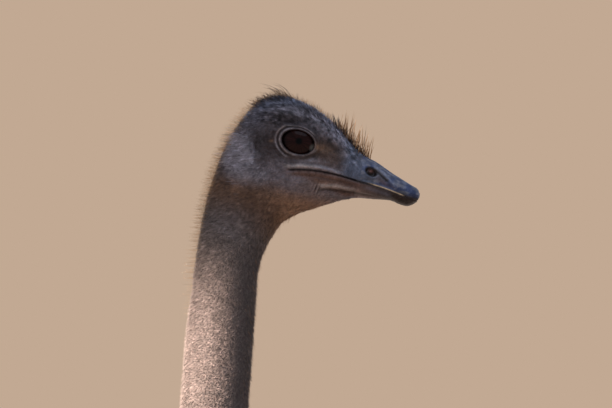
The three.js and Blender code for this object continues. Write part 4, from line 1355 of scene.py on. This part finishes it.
def long_bristles(sizes):
    """Curved bristles: wisps on the crown, a comb over the bill's base, and fringes on nape and throat."""
    rng = np.random.default_rng(BRISTLE_SEED)
    coat = Coat()

    def crown(p, t, a):
        (x, z), y = side_view(p), np.abs(p[..., 1])
        return smooth(26, 40, z + 0.3 * np.abs(x + 18)) * smooth(2, -8, x) * smooth(22, 8, y)

    def wisps(p, t, a):
        return crown(p, t, a) * bell(side_view(p)[0] + 14, 7.0)

    def over_bill(x, z):
        return smooth(-9, -3, z + 0.75 * (x - 52))

    def comb(p, t, a):
        x, z = side_view(p)
        return over_bill(x, z) * smooth(13, 4, np.abs(p[..., 1])) * smooth(36, 46, x)

    def quiff(p, t, a):
        x, z = side_view(p)
        return comb(p, t, a) + over_bill(x, z) * bell(x - 39, 4.0)

    def top(p, t, a):
        x, z = side_view(p)
        return smooth(14, 30, z + 0.6 * np.maximum(x, 0)) * smooth(-60, -40, x) * smooth(52, 30, x)

    def ridge(p, t, a):
        return top(p, t, a) * smooth(18, 8, np.abs(p[..., 1]))

    def hind(p, t, a):
        return smooth(-34, -48, side_view(p)[0]) * smooth(20, 6, np.abs(p[..., 1]))

    def patch(p, t, a):
        return smooth(1.3, 0.7, oval(*side_view(p), -58, -20, 17, 30, 0.2))

    def nape(p, t, a):
        return smooth(1.0, 1.4, folded(a) + 0 * t) * smooth(NAPE_END, 15.5, t) * smooth(11, 15, t)

    def throat(p, t, a):
        return smooth(-0.7, -1.2, folded(a) + 0 * t)

    dark, golden, pale = (shade_of(name) for name in ("bristle", "fringe", "ear_patch"))
    warm = golden * np.array([1.08, 0.92, 0.76])
    # Where a group grows, its share of the bristles, its stations and its length; the way its bristles
    # start, as shares of outward, along the body, backward and down; how they curl, backward and down;
    # how loosely; their width, their colour and how much paler the tips are.
    for where, share, stations, size, start, curl, loose, width, tint, tip in (
            (crown, 0.14, (9.5, 12.4), 0.5, (1, 0, 0.35, 0), (0.7, 0), 0.42, 0.42, dark, 1.5),
            (wisps, 0.007, (9.5, 12.0), 1.55, (1, 0, 0.1, 0), (1.6, 0.5), 0.14, 0.46, dark * 1.2, 1.6),
            (wisps, 0.012, (9.5, 12.0), 1.35, (1, 0, 0.2, 0), (1.6, 0.8), 0.2, 0.34, golden * 0.7, 1.5),
            (quiff, 0.026, (5.7, 9.4), 1.15, (0.2, 0, 0.25, -1), (0.1, 0), 0.10, 0.75, dark * 1.1, 2.2),
            (comb, 0.021, (5.4, 8.0), 1.9, (0.22, 0, 0, -1), (-0.12, 0), 0.09, 0.90, warm * 0.42, 3.4),
            (comb, 0.012, (5.4, 8.0), 1.2, (0.5, 0, 0, -1), (-0.2, 0), 0.2, 0.60, warm * 0.8, 1.7),
            (comb, 0.040, (5.9, 8.2), 0.36, (0.8, 0, 0, -0.6), (0.1, 0), 0.3, 0.40, dark, 1.8),
            (top, 0.24, (7.0, 12.6), 0.56, (1.4, 0.4, 0.3, 0), (0.3, 0), 0.35, 0.24, dark * 1.6, 2.2),
            (ridge, 0.16, (6.6, 12.6), 0.58, (1, 0.2, 0, 0), (0.3, 0), 0.35, 0.24, warm * 0.8, 1.6),
            (hind, 0.03, (11.4, 13.4), 0.6, (1, 0, 0.4, 0), (0, 0.2), 0.2, 0.28, golden * 0.8, 1.6),
            (patch, 0.03, (10.0, 15.5), 0.85, (0.10, 0, 1, 0), (0, 0.08), 0.05, 0.36, dark * 2.0, 1.4),
            (patch, 0.07, (10.0, 15.5), 0.85, (0.12, 0, 1, 0), (0, 0.08), 0.05, 0.34, pale * 0.9, 1.2),
            # The nape's fringe is made paler still: a painted glow of back light through the hairs.
            (nape, 0.46, (12.0, NAPE_END), 0.95, (1, 0, 0.6, 0), (0, 0.12), 0.1, 0.21, golden * 1.3, 1.2),
            (throat, 0.16, (10.5, NEAR_EDGE), 0.5, (0.8, 1, 0, 0), (0, 0.3), 0.25, 0.24, golden * 0.9,
             1.3)):
        t, a = scatter(rng, int(sizes.bristle_count * share), *stations, where)
        root, out, along = skin_point(t, a)
        first = out * start[0] + along * start[1] + BACKWARD * start[2] + DOWNWARD * start[3]
        first = unit(first + rng.normal(0, loose, out.shape))
        reach = mm(sizes.bristle) * size * rng.uniform(0.35, 1.1, len(t))
        bend = BACKWARD * curl[0] + DOWNWARD * curl[1] + rng.normal(0, loose, (len(t), 3))
        s = np.linspace(0, 1, 5)[None, :, None]
        path = root[:, None] - out[:, None] * 0.3 + reach[:, None, None] * (
            first[:, None] * s + bend[:, None] * s * s * 0.5)
        shade = dimmed(rng, np.broadcast_to(tint, root.shape), 0.3)
        fibres(coat, path, out, width * rng.uniform(0.8, 1.2, len(t)), unwrapped(t, a), shade, tip)
    return coat


def lashes():
    """Short dark lashes along each upper lid."""
    rng = np.random.default_rng(LASH_SEED)
    coat = Coat()
    turn = np.linspace(0.35, 2.6, 30)
    c, s = math.cos(LID_TILT), math.sin(LID_TILT)
    for side in (LEFT, RIGHT):
        level, high = (LID_LONG + 0.4) * np.cos(turn), (LID_HIGH + 0.4) * np.sin(turn)
        x, z = LID_X + level * c - high * s, LID_Z + level * s + high * c
        y = lids(x, np.full(len(x), HEAD_HALF_WIDTH), z)
        root = np.stack([EYE_X + x, side * (y - 0.2), EYE_Z + z], -1)
        out = np.tile([0.0, side, 0.0], (len(x), 1))
        rim = unit(np.stack([x, 0 * x, z], -1))
        way = unit(out * 0.9 + rim * 0.25 + rng.normal(0, 0.12, out.shape))
        k = np.linspace(0, 1, 4)[None, :, None]
        size = rng.uniform(2.4, 3.8, len(x))[:, None, None]
        path = root[:, None] + size * (way[:, None] * k + DOWNWARD * 0.3 * k * k)
        tint = np.broadcast_to(shade_of("bristle") * 0.5, root.shape)
        a = mirrored(0.2, side) + 0 * x
        fibres(coat, path, rim, np.full(len(x), 0.2), unwrapped(10 - x / 20, a), tint)
    return coat


def neck_down(t0, t1, count, size, width, rise):
    """Woolly down in small curly tufts, lying backwards and down, pale with dark ones between."""
    rng = np.random.default_rng(DOWN_SEED + int(t0))
    t, a = scatter(rng, count, t0, t1, lambda p, t, a: smooth(11.6, 14.6, t) + 0 * a)
    fade = 0.6 + 0.4 * smooth(12.0, 16.5, t)
    reach = size * fade * rng.uniform(0.6, 1.25, count)
    coat = Coat()
    tufted(coat, rng, t, a, lambda out, along: 0.55 * along + BACKWARD, rise * (0.5 + 0.5 * fade), reach,
           width * rng.uniform(0.7, 1.3, count), (0.62 * size, 0.6, 0.55, 0.25), 0.60, 1.3)
    return coat


def trunk_feathers(sizes, t0, t1, count):
    """Loose grey-brown feathers of the trunk, lapping backwards, shorter on the chest and belly."""
    rng = np.random.default_rng(FEATHER_SEED + int(t0))
    t, a = scatter(rng, count, t0, t1)
    root, out, along = skin_point(t, a)
    belly = smooth(-0.75, -1.25, folded(a))
    size = mm(sizes.feather) * np.interp(t, (25, 27, 30, 38), (0.32, 0.6, 1.0, 1.15))
    size = size * (1 - 0.35 * belly) * rng.uniform(0.8, 1.15, count)
    way = along + DOWNWARD * (0.35 * smooth(26, 29, t))[:, None]
    lie = lean(rng, out, way, 0.10 + 0 * t, 0.10)
    droop = np.interp(folded(a), (-1.3, -0.3, 0.8, 1.5), (0.02, 0.10, 0.26, 0.20))
    droop = droop * rng.uniform(0.6, 1.3, count)
    tint = dimmed(rng, markings(root), 0.16)
    coat = Coat()
    feathers(coat, rng, root - out * 2, lie, out, size, size * 0.24, 9, droop, unwrapped(t, a), tint, 1.9)
    return coat


def wing_feathers(sizes, side):
    """A folded wing: rows of grey-brown coverts and, below and behind, long pale plumes that droop."""
    rng = np.random.default_rng(WING_SEED + side)
    plume, brown_feather = shade_of("plume"), shade_of("feather")
    count = sizes.covert_count
    # u runs along the folded wing and v up across it.
    u, v = rng.random(count) ** 0.9, rng.random(count)
    t = WING[0] + (WING[1] - WING[0]) * u * 0.98
    top, low = wing_edges(u)
    a = mirrored(low + (top - low) * v, side)
    root, out, along = skin_point(t, a)
    size = mm(sizes.feather) * (0.85 + 0.5 * u) * rng.uniform(0.85, 1.15, count)
    lie = lean(rng, out, along + DOWNWARD * 0.35, 0.08 + 0 * t, 0.08)
    pale = smooth(0.5, 0.0, v + rng.normal(0, 0.12, count)) * smooth(0.2, 0.6, u)
    tint = markings(root) * (1 - pale[:, None]) + plume * pale[:, None]
    coat = Coat()
    feathers(coat, rng, root - out * 2, lie, out, size, size * 0.24, 11, rng.uniform(0.08, 0.25, count),
             unwrapped(t, a), dimmed(rng, tint, 0.13), 2.0)
    # The plumes grow in a band along the wing's lower edge, the brownest near the shoulder.
    count = sizes.plume_count
    u = np.linspace(0.16, 0.97, count) + rng.normal(0, 0.01, count)
    u = np.clip(u, 0.1, 0.98)
    row = rng.random(count)
    t = WING[0] + (WING[1] - WING[0]) * u
    a = mirrored(wing_edges(u)[1] + 0.04 + 0.34 * row, side)
    root, out, along = skin_point(t, a)
    size = mm(sizes.plume) * np.interp(u, (0, 0.4, 1), (0.5, 0.9, 1.0)) * rng.uniform(0.8, 1.1, count)
    size = size * (1 - 0.25 * row)
    lie = lean(rng, out, along + DOWNWARD * 0.45, 0.10 + 0 * t, 0.06)
    brown = (0.75 * smooth(0.42, 0.2, u) + 0.25 * rng.random(count))[:, None]
    tint = dimmed(rng, plume * (1 - brown) + brown_feather * brown, 0.10)
    feathers(coat, rng, root - out * 3, lie, out, size, size * 0.17, 44, rng.uniform(0.16, 0.34, count),
             unwrapped(t, a), tint, 2.2)
    return coat


def tail_plumes(sizes):
    """A fan of drooping plumes behind the rump."""
    rng = np.random.default_rng(TAIL_SEED)
    count = sizes.tail_plume_count
    spread = np.linspace(-1, 1, count) + rng.normal(0, 0.03, count)
    spread = np.clip(spread, -1, 1)
    outward = spread ** 2
    row = rng.random(count)
    root = np.stack([-398 + 40 * rng.uniform(-1, 0.6, count), 68 * spread,
                     1085 - 70 * outward - 60 * row], -1)
    turn, dip = 0.3 * spread, 0.42 + 0.15 * outward + 0.45 * row
    way = np.stack([-np.cos(turn) * np.cos(dip), np.sin(turn), -np.cos(turn) * np.sin(dip)], -1)
    up = unit(np.stack([-np.sin(dip), 0.5 * spread, np.cos(dip)], -1))
    size = mm(sizes.tail_plume) * (1 - 0.2 * outward) * rng.uniform(0.75, 1.05, count)
    brown = rng.random(count)[:, None] * 0.45
    tint = shade_of("plume") * (1 - brown) + shade_of("feather") * brown
    coat = Coat()
    root_map = unwrapped(36.5 + row, math.pi / 2 - spread)
    feathers(coat, rng, root, unit(way + rng.normal(0, 0.05, way.shape)), up, size, size * 0.20, 40,
             rng.uniform(0.20, 0.42, count), root_map, dimmed(rng, tint, 0.12), 2.4)
    return coat


def thigh_hair():
    """Sparse short hairs on the bare thighs."""
    rng = np.random.default_rng(THIGH_SEED)
    coat = Coat()
    count = THIGH_HAIR_COUNT
    for side in (LEFT, RIGHT):
        t, a = rng.uniform(1.4, 7.6, count), rng.uniform(0, 2 * math.pi, count)
        out, along, _ = LEG.frame_at(t, a)
        p = on_leg(LEG.point(t, a) - out * 1.5, side)
        for direction in (out, along):
            direction[:, 1] *= side
        size = rng.uniform(5, 10, count)
        way = lean(rng, out, along, 0.25 + 0 * t, 0.2)
        tint = dimmed(rng, markings(p), 0.2) * 1.1
        # The thighs' strips on the skin's map start at 0 and at 0.5.
        root_map = np.stack([(0 if side == LEFT else 0.5) + 0.155 * a / (2 * math.pi),
                             LEG_MAP_LOW + (1 - LEG_MAP_LOW) * t / LEG.last], -1)
        spikes(coat, p, way, out, size, np.full(count, 0.5), root_map, tint)
    return coat


# ---------------------------------------------------------------------------------------- stage


def floor():
    """A wide round floor of pale paper that thins out into the pale surround."""
    radius, rings, sides = 14.0, 24, 96
    r = radius * np.linspace(0, 1, rings + 1)[1:] ** 1.5
    turn = np.linspace(0, 2 * math.pi, sides, endpoint=False)
    ring = np.stack([np.cos(turn), np.sin(turn), np.zeros(sides)], -1)
    points = np.concatenate([[[0, 0, 0]], (r[:, None, None] * ring[None]).reshape(-1, 3)])
    faces = [(0, 1 + j, 1 + (j + 1) % sides) for j in range(sides)]
    faces += [(1 + i * sides + j, 1 + (i + 1) * sides + j, 1 + (i + 1) * sides + (j + 1) % sides,
               1 + i * sides + (j + 1) % sides) for i in range(rings - 1) for j in range(sides)]
    mesh = bpy.data.meshes.new("floor")
    mesh.from_pydata(points.tolist(), [], faces)
    material, tree = new_material("pale_paper")
    where = node(tree, 'ShaderNodeTexCoord').outputs["Object"]
    far = node(tree, 'ShaderNodeVectorMath', {0: where}, operation='LENGTH').outputs["Value"]
    fade = node(tree, 'ShaderNodeMapRange', {"Value": far, "From Min": 2.0, "From Max": 13.5},
                interpolation_type='SMOOTHSTEP')
    paper = node(tree, 'ShaderNodeBsdfDiffuse', {"Color": (*colour("#D7C1AF"), 1)})
    gone = node(tree, 'ShaderNodeBsdfTransparent')
    mixed = node(tree, 'ShaderNodeMixShader',
                 {0: fade.outputs[0], 1: paper.outputs[0], 2: gone.outputs[0]})
    node(tree, 'ShaderNodeOutputMaterial', {"Surface": mixed.outputs[0]})
    mesh.materials.append(material)
    linked("floor", mesh)


def surround():
    """A plain pale surround that lights the bird weakly and coolly from all sides."""
    world = bpy.data.worlds.new("pale_surround")
    world.use_nodes = True
    tree = world.node_tree
    tree.nodes.clear()
    seen = node(tree, 'ShaderNodeBackground', {"Color": (*colour("#C2A993"), 1)})
    light = node(tree, 'ShaderNodeBackground', {"Color": (*colour("#DFE3EC"), 1), "Strength": 0.42})
    straight = node(tree, 'ShaderNodeLightPath').outputs["Is Camera Ray"]
    mixed = node(tree, 'ShaderNodeMixShader', {0: straight, 1: light.outputs[0], 2: seen.outputs[0]})
    node(tree, 'ShaderNodeOutputWorld', {"Surface": mixed.outputs[0]})
    bpy.context.scene.world = world


def lamp(name, kind, way, far, target, power, shade, **settings):
    """A lamp that far from its target along that way, turned to face it."""
    way = Vector(way).normalized()
    light = bpy.data.lights.new(name, kind)
    light.energy, light.color = power, colour(shade)
    for setting, value in settings.items():
        setattr(light, setting, value)
    made = linked(name, light)
    made.location = Vector(target) + way * far
    made.rotation_euler = (-way).to_track_quat('-Z', 'Y').to_euler()


def lights():
    """A low warm key from the left whose soft edge ends below the head, a cool top and a warm rim."""
    body = (0.45, 0.0, 0.80)
    lamp("low_key", 'SPOT', (-0.94, -0.36, -0.03), 12.0, (0.43, 0.0, 1.245), 24500, "#FFE9D9",
         spot_size=2 * math.atan(0.48 / 12.0), spot_blend=0.42, shadow_soft_size=0.03)
    lamp("cool_top", 'SUN', (0.25, -0.45, 1.0), 10.0, body, 1.4, "#D8E2F8", angle=math.radians(70))
    lamp("warm_rim", 'SUN', (-0.35, 1.0, 0.40), 10.0, body, 2.2, "#FFF0DC", angle=math.radians(14))


def camera():
    """A long lens square to the bird's right side."""
    across, lens, sensor = 0.612, 200.0, 36.0       # the view's width in metres, and the lens in mm
    look_x, look_z = 0.477, 1.753
    view = bpy.data.cameras.new("camera")
    view.lens, view.sensor_width = lens, sensor
    view.clip_end = 200
    made = linked("camera", view)
    made.location = (look_x + SHIFT[0], -across * lens / sensor, look_z)
    made.rotation_euler = (math.pi / 2, 0, 0)
    bpy.context.scene.camera = made
    bpy.context.scene.view_settings.view_transform = 'Standard'


# ---------------------------------------------------------------------------------------- operators


class BuildSkin(bpy.types.Operator):
    """One skin for head, neck, trunk, folded wings, tail stub, legs and toes."""
    bl_idname = "ostrich.skin"
    bl_label = "Skin"

    def execute(self, context):
        nodes = ["head", "neck_upper", "neck_middle", "neck_lower", "trunk"]
        for word in ("left", "right"):
            nodes += [f"{part}_{word}" for part in ("thigh", "shank", "toe_middle", "toe_outer")]
        place("skin", skin_mesh(), leathery_skin(), nodes)
        return {'FINISHED'}


class BuildBill(bpy.types.Operator):
    """The two horn halves of the bill."""
    bl_idname = "ostrich.bill"
    bl_label = "Bill"

    def execute(self, context):
        horn = bill_horn()
        for upper, node_name in ((True, "bill_upper"), (False, "bill_lower")):
            points, corners, starts, corner_map = tube(half_bill(upper))
            mesh = build_mesh(node_name + "_horn", points, corners, starts, corner_map, horn_tint(points))
            place(node_name + "_horn", mesh, horn, [node_name])
        return {'FINISHED'}


class BuildEyes(bpy.types.Operator):
    """Both wet eyeballs."""
    bl_idname = "ostrich.eyes"
    bl_label = "Eyes"

    def execute(self, context):
        wet = wet_eye()
        for side, word in SIDES:
            mesh = build_mesh(f"eyeball_{word}", *tube(eyeball(side)))
            place(f"eyeball_{word}", mesh, wet, [f"eye_{word}"])
        return {'FINISHED'}


class BuildClaws(bpy.types.Operator):
    """The claw of each middle toe."""
    bl_idname = "ostrich.claws"
    bl_label = "Claws"

    def execute(self, context):
        horn = bpy.data.materials["keratin_horn"]
        for side, word in SIDES:
            points, corners, starts, corner_map = claw_tube(side)
            tint = np.broadcast_to(shade_of("scale") * 0.55, points.shape)
            mesh = build_mesh(f"claw_horn_{word}", points, corners, starts, corner_map, tint)
            place(f"claw_horn_{word}", mesh, horn, [f"claw_{word}"])
        return {'FINISHED'}


class BuildFaceHair(bpy.types.Operator):
    """Stubble, bristles and lashes of the head."""
    bl_idname = "ostrich.face_hair"
    bl_label = "Face hair and bristles"

    def execute(self, context):
        sizes = options()
        hair = plain_keratin("stiff_bristle_keratin", 0.5, 0.0)
        place("face_stubble", face_hair(sizes).mesh("face_stubble"), hair)
        place("head_bristles", long_bristles(sizes).mesh("head_bristles"), hair)
        place("eyelashes", lashes().mesh("eyelashes"), hair)
        return {'FINISHED'}


class BuildDown(bpy.types.Operator):
    """Woolly down of the neck, from the head to the chest."""
    bl_idname = "ostrich.down"
    bl_label = "Neck down"

    def execute(self, context):
        sizes = options()
        wool = plain_keratin("woolly_down", 0.85, 0.15)
        upper, low = mm(sizes.down), mm(sizes.low_down)
        for name, t0, t1, count, size, width, rise in (
                ("down_nape", 12.2, 16.6, sizes.down_count // 2, upper, 0.42, 0.6),
                ("down_upper", 16.6, NEAR_EDGE, sizes.down_count // 2, upper, 0.5, 0.75),
                ("down_middle", NEAR_EDGE, 23.4, sizes.middle_down_count, upper * 1.25, 0.85, 0.6),
                ("down_low", 23.4, 27.6, sizes.low_down_count, low, 1.4, 0.45)):
            coat = neck_down(t0, t1, count, size, width, rise)
            place(name, coat.mesh(name), wool)
        return {'FINISHED'}


class BuildPlumage(bpy.types.Operator):
    """Feathers of the trunk, wings and tail, and the thighs' sparse hairs."""
    bl_idname = "ostrich.plumage"
    bl_label = "Plumage"

    def execute(self, context):
        sizes = options()
        loose = plain_keratin("loose_feather_keratin", 0.75, 0.25)
        for name, t0, t1, share in (("feathers_chest", 25.4, 29.2, 0.37),
                                    ("feathers_back", 29.2, 33.0, 0.36),
                                    ("feathers_rump", 33.0, 37.95, 0.38)):
            coat = trunk_feathers(sizes, t0, t1, int(sizes.feather_count * share))
            place(name, coat.mesh(name), loose)
        for side, word in SIDES:
            coat = wing_feathers(sizes, side)
            name = f"wing_plumes_{word}"
            place(name, coat.mesh(name), loose, [f"wing_{word}"])
        place("tail_plumes", tail_plumes(sizes).mesh("tail_plumes"), loose, ["tail"])
        place("thigh_hairs", thigh_hair().mesh("thigh_hairs"), loose)
        return {'FINISHED'}


class BuildStage(bpy.types.Operator):
    """Pale floor, soft studio lights and the camera at the bird's right side, level with its head."""
    bl_idname = "ostrich.stage"
    bl_label = "Stage"

    def execute(self, context):
        floor()
        surround()
        lights()
        camera()
        return {'FINISHED'}


OPERATORS = (BuildSkin, BuildBill, BuildEyes, BuildClaws, BuildFaceHair, BuildDown, BuildPlumage,
             BuildStage)


class OstrichPanel(bpy.types.Panel):
    """Sizes, colours and the pieces, in the order they are built."""
    bl_label = "Ostrich"
    bl_idname = "VIEW3D_PT_ostrich"
    bl_space_type = 'VIEW_3D'
    bl_region_type = 'UI'
    bl_category = "Ostrich"

    def draw(self, context):
        for group in (context.scene.ostrich_sizes, context.scene.ostrich_colours):
            column = self.layout.column(align=True)
            for name in group.bl_rna.properties.keys():
                if name not in ("rna_type", "name"):
                    column.prop(group, name)
        for operator in OPERATORS:
            self.layout.operator(operator.bl_idname)


CLASSES = (OstrichSizes, OstrichColours, *OPERATORS, OstrichPanel)


def register():
    """Registers the classes and gives every scene its sizes and colours."""
    for each in CLASSES:
        bpy.utils.register_class(each)
    bpy.types.Scene.ostrich_sizes = bpy.props.PointerProperty(type=OstrichSizes)
    bpy.types.Scene.ostrich_colours = bpy.props.PointerProperty(type=OstrichColours)


def unregister():
    """Takes away what register adds."""
    del bpy.types.Scene.ostrich_sizes
    del bpy.types.Scene.ostrich_colours
    for each in reversed(CLASSES):
        bpy.utils.unregister_class(each)


def main():
    """Builds the bird and its stage."""
    register()
    for operator in OPERATORS:
        group, name = operator.bl_idname.split(".")
        getattr(getattr(bpy.ops, group), name)()


if __name__ == "__main__":
    main()
